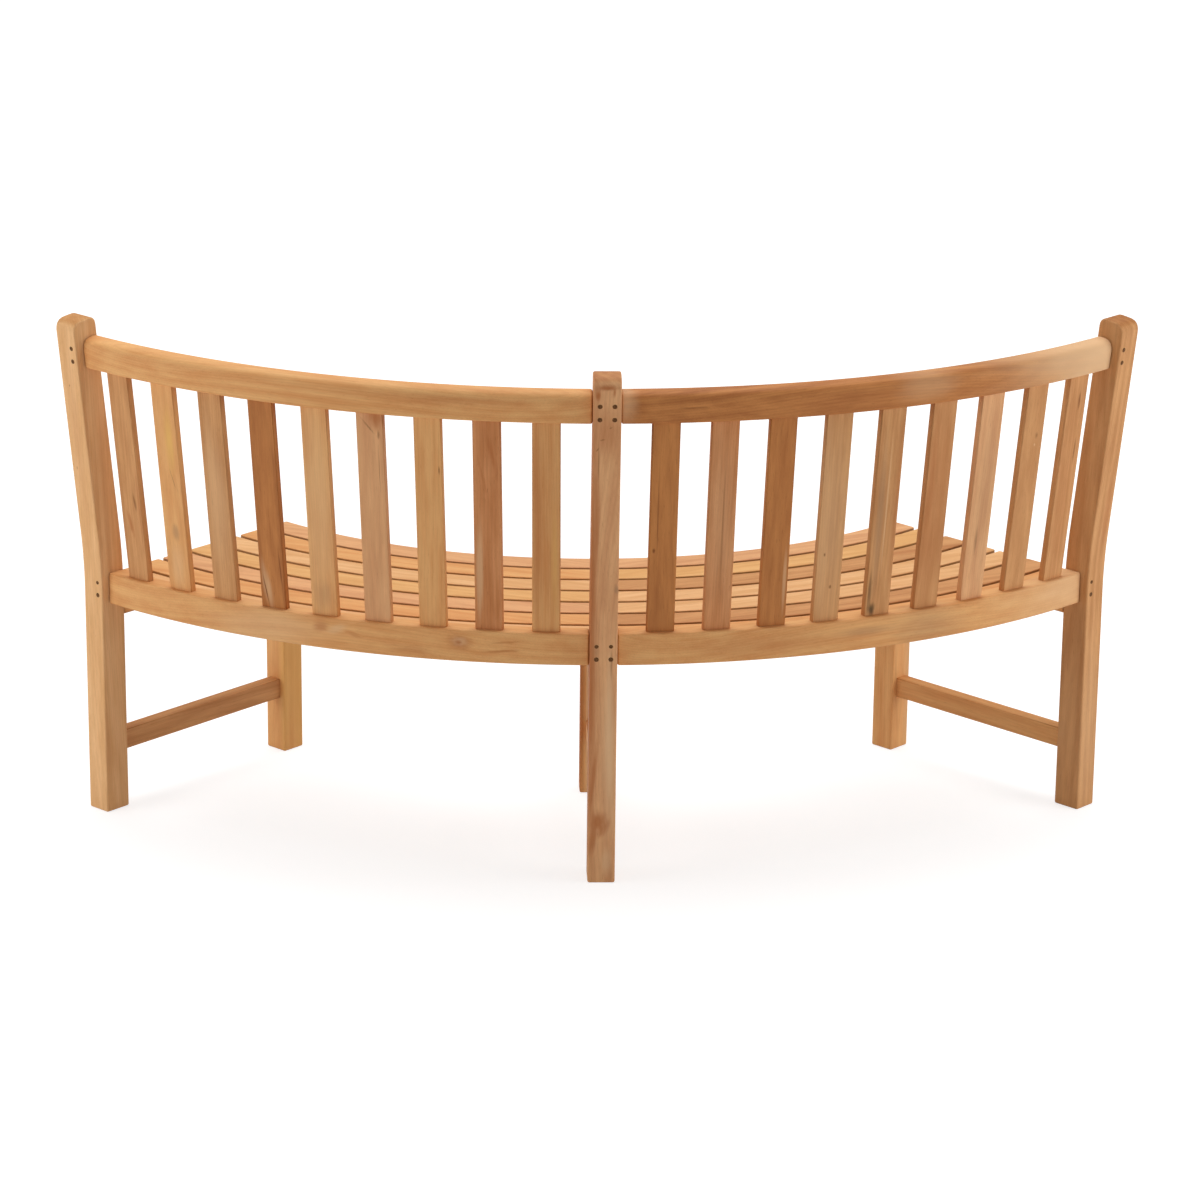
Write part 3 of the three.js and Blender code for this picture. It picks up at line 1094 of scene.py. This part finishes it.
    def build(self, dowel_end: bpy.types.Material) -> None:
        """Makes all the pieces of the leg frame. Only the centre post's dowels are CAD nodes.

        Args:
            dowel_end: Material of the dowels.
        """
        for board in (self.back_post(), self.front_leg(), self.seat_bearer(), self.stretcher()):
            board.finished()
        axes = self.plan.at(self.angle)
        for kind, middle, out in self.dowels():
            dowel = Dowel(f"{self.side.value}_{kind}", self.dowel_radius)
            piece = dowel.made(axes @ middle, axes.to_3x3() @ out, dowel_end)
            seated(piece, "pin_wood", *([kind] if self.side is Side.CENTRE else []))


# Bays


@dataclass
class Bay(Assembly):
    """One bay of the bench: its curved rails, back slats, seat rows, apron and batten.

    Attributes:
        outwards: Direction along X from the centre post to the end post.
        rail_woods: The wood of its top rail, lower rail, apron and batten.
        slat_woods: The wood of its back slats, from the centre post outwards.
        seat_woods: The wood of its seat rows, from the front.
    """

    outwards: int
    rail_woods: tuple[Teak, Teak, Teak, Teak]
    slat_woods: Sequence[Teak]
    seat_woods: Sequence[Teak]
    rail_inset: float = 0.015
    rail_thickness: float = 0.036
    rail_arris: float = 0.0035
    top_rail_height: float = 0.0515
    top_rail_top: float = 0.40688
    crest_back_round: float = 0.020
    crest_front_round: float = 0.012
    lower_rail_top: float = 0.436
    lower_rail_height: float = 0.0555
    rail_end_gap: float = 0.0233
    slat_spread: float = 0.00075
    slat_width: float = 0.0465
    slat_thickness: float = 0.013
    slat_inset: float = 0.0223
    slat_arris: float = 0.002
    seat_top: float = 0.426
    seat_thickness: float = 0.020
    seat_gap: float = 0.009
    seat_front: float = 0.7805
    seat_back: float = 1.186
    rear_row_width: float = 0.035
    seat_end_gap: float = 0.0012
    seat_corner_round: float = 0.004
    seat_corner_steps: int = 4
    seat_arris: float = 0.002
    apron_front: float = 0.782
    apron_thickness: float = 0.020
    apron_height: float = 0.052
    apron_arris: float = 0.002
    batten_width: float = 0.044
    batten_thickness: float = 0.022
    batten_gap: float = 0.0009
    batten_arris: float = 0.0015

    @property
    def top_rail_bottom(self) -> float:
        """How far up the raked back the top rail's underside lies."""
        return self.top_rail_top - self.top_rail_height

    def curved_board(
        self,
        kind: str,
        slot: str,
        section: Sequence[Pair],
        end_gap: float,
        **rest: object,
    ) -> Board:
        """Draws a board that is swept along the bay, sawn from a straight plank.

        Args:
            kind: Its name without the side.
            slot: The record's material slot.
            section: Its section in radius and height.
            end_gap: How far its ends stay from the leg frames' centre planes.
            rest: Its number, wood, arris and the direction out of its face.

        Returns:
            The board.
        """
        radius = sum(point[0] for point in section) / len(section)
        height = sum(point[1] for point in section) / len(section)
        middle = Vector((0, radius * (1 + math.cos(self.plan.bay_angle / 2)) / 2, height))
        shape = self.plan.curved(section, end_gap)
        return self.board(kind, slot, shape, middle=middle, grain=ALONG_ARC, **rest)

    def rail(self, kind: str, section: Sequence[Pair], wood: Teak, arris: float) -> Board:
        """Draws a rail or apron, whose widest face stands upright.

        Args:
            kind: Its name without the side.
            section: Its section in radius and height.
            wood: Its wood.
            arris: Radius to which its edges are eased.

        Returns:
            The board.
        """
        return self.curved_board(
            kind,
            "rail_teak",
            section,
            self.rail_end_gap,
            face=OUT,
            finish=wood,
            arris=arris,
        )

    def top_rail(self) -> Board:
        """Draws the top rail, with its rounded crest.

        Returns:
            The board.
        """
        back, front = self.rail_inset, self.rail_inset + self.rail_thickness
        corners = [
            (*self.plan.raked(front, self.top_rail_bottom), 0),
            (*self.plan.raked(back, self.top_rail_bottom), 0),
            (*self.plan.raked(back, self.top_rail_top), self.crest_back_round),
            (*self.plan.raked(front, self.top_rail_top), self.crest_front_round),
        ]
        return self.rail("top_rail", rounded(corners), self.rail_woods[0], self.rail_arris)

    def lower_rail(self) -> Board:
        """Draws the lower back rail, whose top stands a little above the seat.

        Returns:
            The board.
        """
        outer, top = self.plan.back_radius - self.rail_inset, self.lower_rail_top
        section = box_outline(outer - self.rail_thickness, outer, top - self.lower_rail_height, top)
        return self.rail("lower_rail", section, self.rail_woods[1], self.rail_arris)

    def front_apron(self) -> Board:
        """Draws the apron between the front legs.

        Returns:
            The board.
        """
        front, top = self.apron_front, self.plan.support_top
        section = box_outline(front, front + self.apron_thickness, top - self.apron_height, top)
        return self.rail("front_apron", section, self.rail_woods[2], self.apron_arris)

    def seat_batten(self) -> Board:
        """Draws the batten under the middle of the seat.

        Returns:
            The board.
        """
        inner = self.apron_front + self.apron_thickness + self.plan.fit
        outer = self.plan.back_radius - self.rail_inset - self.rail_thickness - self.batten_gap
        half, top = self.batten_width / 2, self.plan.support_top
        bottom = top - self.batten_thickness
        return self.board(
            "seat_batten",
            "rail_teak",
            straight(box_outline(inner, outer, bottom, top), -half, half),
            middle=Vector((0, (inner + outer) / 2, (bottom + top) / 2)),
            grain=OUT,
            face=UP,
            finish=self.rail_woods[3],
            arris=self.batten_arris,
            square_ends=True,
        )

    def seat_rows(self) -> Iterator[Board]:
        """Draws the seat rows, from the front: equal rows, and a narrow one at the rear.

        Yields:
            Each row.
        """
        equal = len(self.seat_woods) - 1
        pitch = (self.seat_back - self.seat_front - self.rear_row_width) / equal
        for number, wood in enumerate(self.seat_woods, 1):
            inner = self.seat_front + (number - 1) * pitch
            width = pitch - self.seat_gap if number <= equal else self.rear_row_width
            row = self.curved_board(
                "seat_slat",
                "seat_teak",
                box_outline(inner, inner + width, self.seat_top - self.seat_thickness, self.seat_top),
                self.seat_end_gap,
                number=number,
                face=UP,
                finish=wood,
                arris=self.seat_arris,
            )
            self.round_corners(row.shape)
            yield row

    def round_corners(self, shape: bmesh.types.BMesh) -> None:
        """Rounds the four corners of a seat row in plan.

        Args:
            shape: The row's mesh.
        """
        upright = [
            edge
            for edge in shape.edges
            if abs(edge.verts[0].co.z - edge.verts[1].co.z) > self.seat_thickness / 2
            and edge.calc_face_angle() > SHARP_ANGLE
        ]
        bmesh.ops.bevel(
            shape,
            geom=upright,
            offset=self.seat_corner_round,
            offset_type="OFFSET",
            segments=self.seat_corner_steps,
            profile=0.5,
            affect="EDGES",
            clamp_overlap=True,
        )

    def back_slats(self) -> Iterator[Board]:
        """Draws the back slats, from the centre post outwards. Their feet are level, their heads square.

        Yields:
            Each slat.
        """
        plan = self.plan
        near, far = self.slat_inset, self.slat_inset + self.slat_thickness
        foot, head = self.lower_rail_top + plan.fit, self.top_rail_bottom - plan.fit
        outline = [
            plan.raked(far, plan.along_at(far, foot)),
            plan.raked(near, plan.along_at(near, foot)),
            plan.raked(near, head),
            plan.raked(far, head),
        ]
        half = self.slat_width / 2
        depth = (near + far) / 2
        count = len(self.slat_woods)
        for number, wood in enumerate(self.slat_woods, 1):
            even = plan.bay_angle * (number / (count + 1) - 0.5)
            yield self.board(
                "back_slat",
                "slat_teak",
                straight(outline, -half, half),
                number,
                self.outwards * (even + number * self.slat_spread / plan.back_radius),
                middle=Vector((0, *plan.raked(depth, (plan.along_at(depth, foot) + head) / 2))),
                grain=Vector((0, math.sin(plan.rake), math.cos(plan.rake))),
                face=OUT,
                finish=wood,
                arris=self.slat_arris,
                square_ends=True,
            )

    def build(self) -> None:
        """Makes all the pieces of the bay."""
        for board in (self.top_rail(), self.lower_rail(), self.front_apron(), self.seat_batten()):
            board.finished()
        for board in (*self.seat_rows(), *self.back_slats()):
            board.finished()


# Studio


@dataclass(frozen=True)
class Softbox:
    """A soft lamp.

    Attributes:
        name: Its name.
        place: Where it hangs.
        target: The point that it faces.
        size: Its width and height.
        power: Its power in watts.
    """

    name: str
    place: Point
    target: Point
    size: Pair
    power: float

    def hang(self) -> None:
        """Adds the lamp to the scene."""
        lamp = bpy.data.lights.new(self.name, "AREA")
        lamp.shape = "RECTANGLE"
        lamp.size, lamp.size_y = self.size
        lamp.energy = self.power
        holder = add_object(self.name, lamp)
        holder.location = self.place
        towards = Vector(self.target) - Vector(self.place)
        holder.rotation_euler = towards.to_track_quat("-Z", "Y").to_euler()


@dataclass(frozen=True)
class Studio:
    """Plain pale floor, soft lamps and the camera.

    Attributes:
        softboxes: The lamps.
        ambient: Strength of the world's light.
        floor_half: Half the floor's width.
        floor_colour: Colour of the floor.
        shadow_grey: How much of the lamps' light the floor shows to the camera, so that it keeps shadows.
        glow: The floor's own light as the camera sees it, under the bench and away from it.
        glow_reach: Distances from the bench's middle between which that light grows.
        camera_place: Where the camera stands.
        yaw: How far it is turned to the right of straight across the bench, in radians.
        pitch: How far it looks down.
        roll: How far it is tilted.
        lens: Its focal length in millimetres.
        sensor: Width of its sensor in millimetres.
        sight: How far it sees.
    """

    softboxes: tuple[Softbox, ...] = (
        Softbox("overhead softbox", (0.0, -0.8, 3.2), (0.0, -0.1, 0.4), (4.0, 2.6), 95.0),
        Softbox("left softbox", (3.0, 0.9, 0.95), (0.8, 0.0, 0.45), (1.6, 1.6), 26.0),
        Softbox("right softbox", (-3.0, 0.9, 0.95), (-0.8, 0.0, 0.45), (1.6, 1.6), 30.0),
        Softbox("fill softbox", (0.0, 5.2, 1.2), (0.0, 0.0, 0.5), (4.0, 2.0), 27.0),
    )
    ambient: float = 0.25
    floor_half: float = 40.0
    floor_colour: str = "#E8E7E5"
    shadow_grey: float = 0.45
    glow: Pair = (0.74, 1.0)
    glow_reach: Pair = (1.2, 3.2)
    camera_place: Point = (0.27589, 7.29505, 2.79440)
    yaw: float = 0.03858
    pitch: float = 0.3179
    roll: float = 0.0112
    lens: float = 133.82
    sensor: float = 36.0
    sight: float = 200.0

    def paper(self) -> bpy.types.Material:
        """Makes the floor's material: pale to the bench, and white to the camera apart from the shadow.

        Returns:
            The material.
        """
        made = bpy.data.materials.new("paper, matt white roll")
        tree = empty_tree(made)
        matt = add_node(tree, "BsdfDiffuse", {"Color": linear(self.floor_colour)})
        dim = add_node(tree, "BsdfDiffuse", {"Color": (*[self.shadow_grey] * 3, 1)})
        place = add_node(tree, "TexCoord", wanted="Object")
        away = add_node(tree, "VectorMath", {0: place}, operation="LENGTH")
        (near, far), (low, high) = self.glow_reach, self.glow
        ranges = {"Value": away, "From Min": near, "From Max": far, "To Min": low, "To Max": high}
        inputs = {"Color": (1, 1, 1, 1), "Strength": add_node(tree, "MapRange", ranges)}
        seen = add_node(tree, "AddShader", {0: dim, 1: add_node(tree, "Emission", inputs)})
        rays = [add_node(tree, "LightPath", wanted=f"Is {ray} Ray") for ray in ("Camera", "Glossy")]
        either = add_node(tree, "Math", dict(enumerate(rays)), operation="MAXIMUM")
        surface = add_node(tree, "MixShader", {0: either, 1: matt, 2: seen})
        add_node(tree, "OutputMaterial", {"Surface": surface})
        return made

    def set_floor(self) -> None:
        """Lays the floor."""
        half = self.floor_half
        corners = [(-half, -half, 0), (half, -half, 0), (half, half, 0), (-half, half, 0)]
        mesh = bpy.data.meshes.new("floor")
        mesh.from_pydata(corners, [], [(0, 1, 2, 3)])
        mesh.materials.append(self.paper())
        add_object("floor", mesh)

    def set_world(self) -> None:
        """Fills the room with even light: white to the camera, and softer on the bench."""
        world = bpy.data.worlds.new("white room")
        tree = empty_tree(world)
        rays = [add_node(tree, "LightPath", wanted=f"Is {ray} Ray") for ray in ("Camera", "Transmission")]
        either = add_node(tree, "Math", dict(enumerate(rays)), operation="MAXIMUM")
        strength = add_node(tree, "MapRange", {"Value": either, "To Min": self.ambient, "To Max": 1.0})
        back = add_node(tree, "Background", {"Color": (1, 1, 1, 1), "Strength": strength})
        add_node(tree, "OutputWorld", {"Surface": back})
        bpy.context.scene.world = world

    def set_camera(self) -> None:
        """Stands the camera where the photograph was taken from."""
        level = math.cos(self.pitch)
        ahead = Vector((-math.sin(self.yaw) * level, -math.cos(self.yaw) * level, -math.sin(self.pitch)))
        right = ahead.cross(UP).normalized()
        up = right.cross(ahead)
        rolled = Matrix((
            math.cos(self.roll) * right + math.sin(self.roll) * up,
            math.cos(self.roll) * up - math.sin(self.roll) * right,
            -ahead,
        )).transposed()
        camera = bpy.data.cameras.new("camera")
        camera.sensor_fit = "HORIZONTAL"
        camera.sensor_width = self.sensor
        camera.lens = self.lens
        camera.clip_end = self.sight
        holder = add_object("camera", camera)
        holder.matrix_world = Matrix.Translation(self.camera_place) @ rolled.to_4x4()
        bpy.context.scene.camera = holder

    def build(self) -> None:
        """Sets up the floor, the lamps, the world and the camera."""
        self.set_floor()
        self.set_world()
        for softbox in self.softboxes:
            softbox.hang()
        self.set_camera()
        bpy.context.scene.view_settings.view_transform = "Standard"


# The bench's woods, board by board

FRAME_WOODS = {
    Side.LEFT: (
        Teak(TeakTone.PALE, Sawn.RIFT, 11, (
            # The first two marks reach past the post's inner edge: painted shade on its inner side face,
            # stronger on the upper part, and on a thin strip of the back face beside it
            Mark(MarkKind.FLAME, 0.150, 0.034, 0.400, 0.016, 0.75),
            Mark(MarkKind.FLAME, -0.320, 0.034, 0.160, 0.016, 0.5),
            Mark(MarkKind.FLAME, 0.250, 0.0, 0.250, 0.016, 0.2),
            Mark(MarkKind.KNOT, 0.330, -0.004, 0.003, 0.002, 0.5),
            Mark(MarkKind.KNOT, 0.180, -0.010, 0.004, 0.002, 0.4),
        )),
        Teak(TeakTone.HONEY, Sawn.FLAT, 12, (Mark(MarkKind.SAP, 0.0, 0.023, 0.40, 0.020, 0.5),)),
        Teak(TeakTone.HONEY, Sawn.QUARTER, 13),
        Teak(TeakTone.TAWNY, Sawn.RIFT, 14),
    ),
    Side.CENTRE: (
        Teak(TeakTone.ROSY, Sawn.RIFT, 21, (
            Mark(MarkKind.FLAME, 0.0, -0.023, 0.70, 0.016, 0.8),
            Mark(MarkKind.FLAME, 0.431, 0.0, 0.007, 0.026, 0.8),
            Mark(MarkKind.FLAME, 0.350, 0.0, 0.070, 0.030, 0.45),
            Mark(MarkKind.FLAME, 0.418, -0.015, 0.015, 0.007, 0.85),
            Mark(MarkKind.FLAME, 0.423, 0.011, 0.010, 0.003, 0.7),
            Mark(MarkKind.STREAK, 0.300, -0.013, 0.050, 0.002, 0.45),
            Mark(MarkKind.KNOT, 0.362, 0.006, 0.002, 0.004, 0.4, 20.0),
            Mark(MarkKind.KNOT, 0.341, -0.007, 0.002, 0.006, 0.45, 15.0),
            Mark(MarkKind.KNOT, 0.324, -0.015, 0.006, 0.002, 0.5, -35.0),
            Mark(MarkKind.FLAME, 0.200, -0.014, 0.120, 0.006, 0.5),
            Mark(MarkKind.STAIN, 0.075, 0.020, 0.014, 0.007, 0.7),
            Mark(MarkKind.STAIN, -0.037, -0.012, 0.024, 0.007, 0.4),
            Mark(MarkKind.STREAK, -0.060, 0.013, 0.034, 0.003, 0.5),
            Mark(MarkKind.BLOOM, -0.160, 0.010, 0.200, 0.007, 0.4),
            Mark(MarkKind.BLOOM, -0.220, 0.010, 0.200, 0.016, 0.6),
            Mark(MarkKind.FLAME, -0.250, -0.014, 0.100, 0.006, 0.5, -6.0),
            Mark(MarkKind.FLAME, -0.335, -0.006, 0.026, 0.022, 0.75),
            Mark(MarkKind.FLAME, -0.350, 0.002, 0.028, 0.010, 0.5, -35.0),
            Mark(MarkKind.FLAME, -0.370, -0.015, 0.040, 0.009, 0.55, -10.0),
            Mark(MarkKind.BLOOM, -0.405, 0.009, 0.032, 0.012, 0.5),
        )),
        Teak(TeakTone.HONEY, Sawn.RIFT, 22, (
            # A dark band runs down the leg's edge towards the left bay, with a light strip beside it on the
            # back face
            Mark(MarkKind.FLAME, 0.0, -0.024, 0.50, 0.012, 0.9),
            Mark(MarkKind.BLOOM, 0.0, -0.011, 0.50, 0.004, 0.8),
        )),
        Teak(TeakTone.HONEY, Sawn.QUARTER, 23),
        Teak(TeakTone.HONEY, Sawn.RIFT, 24),
    ),
    Side.RIGHT: (
        Teak(TeakTone.TAWNY, Sawn.QUARTER, 31, (
            Mark(MarkKind.FLAME, 0.10, 0.01, 0.09, 0.012, 0.35),
            Mark(MarkKind.BLOOM, -0.30, 0.0, 0.25, 0.04, 0.2),
        )),
        Teak(TeakTone.HONEY, Sawn.FLAT, 32, (
            Mark(MarkKind.STAIN, 0.0, 0.023, 0.40, 0.020, 0.2),
            Mark(MarkKind.BLOOM, 0.0, 0.023, 0.40, 0.020, 0.3),
        )),
        Teak(TeakTone.HONEY, Sawn.QUARTER, 33),
        Teak(TeakTone.HONEY, Sawn.RIFT, 34),
    ),
}

RAIL_WOODS = {
    Side.LEFT: (
        Teak(TeakTone.HONEY, Sawn.QUARTER, 41, (Mark(MarkKind.FLAME, -0.22, -0.008, 0.20, 0.012, 0.3),)),
        Teak(TeakTone.HONEY, Sawn.QUARTER, 42, (
            Mark(MarkKind.FLAME, -0.232, 0.006, 0.030, 0.020, 0.55),
            Mark(MarkKind.BLOOM, -0.232, 0.008, 0.018, 0.012, 0.45),
            Mark(MarkKind.FLAME, -0.231, 0.006, 0.008, 0.006, 0.7),
            Mark(MarkKind.FLAME, -0.300, -0.006, 0.045, 0.004, 0.5, 6.0),
            Mark(MarkKind.FLAME, -0.310, 0.010, 0.040, 0.003, 0.4, 6.0),
            Mark(MarkKind.FLAME, -0.150, -0.012, 0.060, 0.010, 0.35),
            Mark(MarkKind.BLOOM, 0.100, 0.0, 0.160, 0.050, 0.35),
            Mark(MarkKind.FLAME, 0.008, 0.012, 0.020, 0.018, 0.45, 25.0),
            Mark(MarkKind.BLOOM, -0.022, 0.010, 0.024, 0.010, 0.45, 20.0),
            Mark(MarkKind.FLAME, -0.050, 0.004, 0.020, 0.006, 0.3, -15.0),
        )),
        Teak(TeakTone.TAWNY, Sawn.QUARTER, 43),
        Teak(TeakTone.HONEY, Sawn.FLAT, 44),
    ),
    Side.RIGHT: (
        Teak(TeakTone.RUSSET, Sawn.QUARTER, 51, (
            Mark(MarkKind.STREAK, 0.345, -0.016, 0.035, 0.003, 0.4),
            Mark(MarkKind.BLOOM, 0.455, 0.0, 0.035, 0.060, 0.6),
            Mark(MarkKind.BLOOM, 0.150, 0.032, 0.450, 0.013, 0.8),
            Mark(MarkKind.BLOOM, -0.520, 0.0, 0.480, 0.150, 0.95),
            Mark(MarkKind.BLOOM, -0.060, 0.0, 0.080, 0.050, 0.3),
        )),
        Teak(TeakTone.HONEY, Sawn.QUARTER, 52, (
            Mark(MarkKind.FLAME, 0.20, 0.0, 0.18, 0.030, 0.3),
            Mark(MarkKind.STAIN, 0.02, 0.004, 0.08, 0.012, 0.4),
            Mark(MarkKind.BLOOM, -0.48, 0.0, 0.30, 0.10, 0.6),
            Mark(MarkKind.STAIN, -0.10, 0.0, 0.10, 0.05, 0.4),
        )),
        Teak(TeakTone.TAWNY, Sawn.QUARTER, 53),
        Teak(TeakTone.HONEY, Sawn.FLAT, 54),
    ),
}

SLAT_WOODS = {
    Side.LEFT: (
        Teak(TeakTone.HONEY, Sawn.QUARTER, 61, (
            Mark(MarkKind.FLAME, 0.0, 0.0, 0.30, 0.050, 0.25),
            Mark(MarkKind.FLAME, 0.0, -0.016, 0.30, 0.015, 0.35),
            Mark(MarkKind.SAP, -0.05, 0.014, 0.16, 0.008, 0.4),
        )),
        Teak(TeakTone.CHESTNUT, Sawn.RIFT, 62, (
            Mark(MarkKind.FLAME, 0.130, 0.008, 0.050, 0.006, 0.5, 12.0),
            Mark(MarkKind.FLAME, 0.090, -0.008, 0.060, 0.004, 0.4, 12.0),
            Mark(MarkKind.BLOOM, -0.080, -0.014, 0.110, 0.009, 0.5),
        )),
        Teak(TeakTone.HONEY, Sawn.RIFT, 63, (Mark(MarkKind.STREAK, 0.095, 0.018, 0.010, 0.0015, 0.8),)),
        Teak(TeakTone.ROSY, Sawn.FLAT, 64, (
            Mark(MarkKind.FLAME, 0.182, 0.012, 0.032, 0.020, 0.8),
            Mark(MarkKind.KNOT, 0.163, -0.002, 0.024, 0.0025, 0.5, 40.0),
            Mark(MarkKind.KNOT, 0.150, 0.015, 0.010, 0.003, 0.55),
            Mark(MarkKind.STREAK, 0.085, 0.014, 0.050, 0.0012, 0.4),
        )),
        Teak(TeakTone.HONEY, Sawn.QUARTER, 65, (
            Mark(MarkKind.BLOOM, 0.0, 0.0, 0.30, 0.04, 0.3),
            Mark(MarkKind.STAIN, -0.150, 0.0, 0.040, 0.024, 0.3),
        )),
        Teak(TeakTone.RUSSET, Sawn.FLAT, 66, (
            Mark(MarkKind.BLOOM, -0.150, -0.009, 0.060, 0.011, 0.5, 8.0),
            Mark(MarkKind.STREAK, -0.155, -0.013, 0.040, 0.0018, 0.9, 9.0),
            Mark(MarkKind.STREAK, -0.115, 0.017, 0.045, 0.002, 0.7, 3.0),
        )),
        Teak(TeakTone.TAWNY, Sawn.QUARTER, 67, (Mark(MarkKind.BLOOM, 0.0, 0.0, 0.20, 0.03, 0.3),)),
        Teak(TeakTone.HONEY, Sawn.FLAT, 68, (
            Mark(MarkKind.SAP, 0.090, 0.007, 0.085, 0.012, 0.9),
            Mark(MarkKind.STREAK, 0.018, 0.006, 0.025, 0.0015, 0.4, 15.0),
            Mark(MarkKind.BLOOM, -0.140, 0.0, 0.060, 0.020, 0.3),
            Mark(MarkKind.STAIN, -0.080, 0.002, 0.022, 0.010, 0.5),
        )),
        Teak(TeakTone.TAWNY, Sawn.RIFT, 69, (
            Mark(MarkKind.KNOT, -0.042, 0.010, 0.024, 0.004, 0.65, 8.0),
            Mark(MarkKind.FLAME, -0.085, -0.004, 0.035, 0.006, 0.55, 12.0),
            Mark(MarkKind.FLAME, -0.060, 0.020, 0.120, 0.004, 0.4),
        )),
    ),
    Side.RIGHT: (
        Teak(TeakTone.RUSSET, Sawn.FLAT, 71, (
            Mark(MarkKind.KNOT, -0.040, -0.015, 0.006, 0.004, 0.8),
            Mark(MarkKind.STREAK, 0.020, -0.010, 0.120, 0.002, 0.5),
        )),
        Teak(TeakTone.CHESTNUT, Sawn.QUARTER, 72, (
            Mark(MarkKind.BLOOM, 0.0, 0.0, 0.25, 0.04, 0.25),
            Mark(MarkKind.STREAK, 0.0, 0.002, 0.170, 0.0025, 0.4),
        )),
        Teak(TeakTone.RUSSET, Sawn.FLAT, 73, (Mark(MarkKind.BLOOM, -0.100, 0.017, 0.080, 0.005, 0.45),)),
        Teak(TeakTone.TAWNY, Sawn.RIFT, 74, (
            Mark(MarkKind.BLOOM, 0.0, 0.0, 0.25, 0.04, 0.3),
            Mark(MarkKind.KNOT, -0.065, -0.010, 0.005, 0.003, 0.75),
            Mark(MarkKind.KNOT, -0.125, 0.004, 0.005, 0.003, 0.7),
        )),
        Teak(TeakTone.TAWNY, Sawn.RIFT, 75, (
            Mark(MarkKind.STAIN, -0.010, -0.010, 0.190, 0.011, 0.65),
            Mark(MarkKind.FLAME, 0.0, 0.019, 0.250, 0.007, 0.4),
            Mark(MarkKind.BLOOM, 0.010, 0.001, 0.170, 0.0018, 0.5),
            Mark(MarkKind.MILDEW, -0.145, -0.017, 0.050, 0.005, 0.6),
            Mark(MarkKind.MILDEW, -0.175, -0.012, 0.018, 0.011, 0.85),
        )),
        Teak(TeakTone.TAWNY, Sawn.FLAT, 76, (
            Mark(MarkKind.FLAME, 0.0, 0.0, 0.30, 0.05, 0.35),
            Mark(MarkKind.FLAME, 0.05, -0.012, 0.20, 0.010, 0.3),
        )),
        Teak(TeakTone.ROSY, Sawn.QUARTER, 77, (
            Mark(MarkKind.MILDEW, -0.080, -0.004, 0.035, 0.004, 0.45),
            Mark(MarkKind.STAIN, 0.0, 0.004, 0.200, 0.030, 0.3),
        )),
        Teak(TeakTone.TAWNY, Sawn.FLAT, 78, (
            Mark(MarkKind.BLOOM, 0.078, 0.006, 0.004, 0.002, 0.8),
            Mark(MarkKind.KNOT, 0.095, 0.008, 0.008, 0.004, 0.5),
        )),
        Teak(TeakTone.TAWNY, Sawn.RIFT, 79, (
            Mark(MarkKind.FLAME, 0.0, 0.0, 0.30, 0.05, 0.2),
            Mark(MarkKind.KNOT, 0.140, 0.006, 0.020, 0.004, 0.7),
            Mark(MarkKind.STREAK, 0.050, 0.010, 0.030, 0.003, 0.6),
        )),
    ),
}

# The seat rows' sides are darker than their tops: painted shade, standing in for the shade in the gaps
# between the rows
SEAT_SIDE_SHADE = 0.7

SEAT_WOODS = {
    Side.LEFT: (
        Teak(TeakTone.ROSY, Sawn.FLAT, 81, edges=SEAT_SIDE_SHADE),
        Teak(TeakTone.HONEY, Sawn.RIFT, 82, edges=SEAT_SIDE_SHADE),
        Teak(TeakTone.PALE, Sawn.FLAT, 83, edges=SEAT_SIDE_SHADE),
        Teak(TeakTone.GOLDEN, Sawn.QUARTER, 84, edges=SEAT_SIDE_SHADE),
        Teak(TeakTone.ROSY, Sawn.FLAT, 85, edges=SEAT_SIDE_SHADE),
        Teak(TeakTone.HONEY, Sawn.RIFT, 86, edges=SEAT_SIDE_SHADE),
        Teak(TeakTone.PALE, Sawn.FLAT, 87, edges=SEAT_SIDE_SHADE),
    ),
    Side.RIGHT: (
        Teak(TeakTone.ROSY, Sawn.RIFT, 91, edges=SEAT_SIDE_SHADE),
        Teak(TeakTone.GOLDEN, Sawn.FLAT, 92, edges=SEAT_SIDE_SHADE),
        Teak(TeakTone.TAWNY, Sawn.QUARTER, 93, (
            Mark(MarkKind.FLAME, -0.25, 0.0, 0.15, 0.02, 0.35),
        ), SEAT_SIDE_SHADE),
        Teak(TeakTone.PALE, Sawn.FLAT, 94, edges=SEAT_SIDE_SHADE),
        Teak(TeakTone.PALE, Sawn.RIFT, 95, edges=SEAT_SIDE_SHADE),
        Teak(TeakTone.TAWNY, Sawn.FLAT, 96, edges=SEAT_SIDE_SHADE),
        Teak(TeakTone.HONEY, Sawn.QUARTER, 97, edges=SEAT_SIDE_SHADE),
    ),
}


def main() -> None:
    """Builds the bench and its studio."""
    post_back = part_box("lower_rail_pin_1")[1].y
    plan = ArcPlan(centre=post_back - ArcPlan.back_radius)
    dowel_end = DowelEnd().material("hardwood, cut dowel end")
    for side, turn, joined in ((Side.LEFT, 1, (-1,)), (Side.CENTRE, 0, (-1, 1)), (Side.RIGHT, -1, (1,))):
        LegFrame(plan, side, turn * plan.bay_angle, joined, FRAME_WOODS[side]).build(dowel_end)
    for side, outwards in ((Side.LEFT, 1), (Side.RIGHT, -1)):
        woods = RAIL_WOODS[side], SLAT_WOODS[side], SEAT_WOODS[side]
        Bay(plan, side, outwards * plan.bay_angle / 2, outwards, *woods).build()
    Studio().build()


if __name__ == "__main__":
    main()
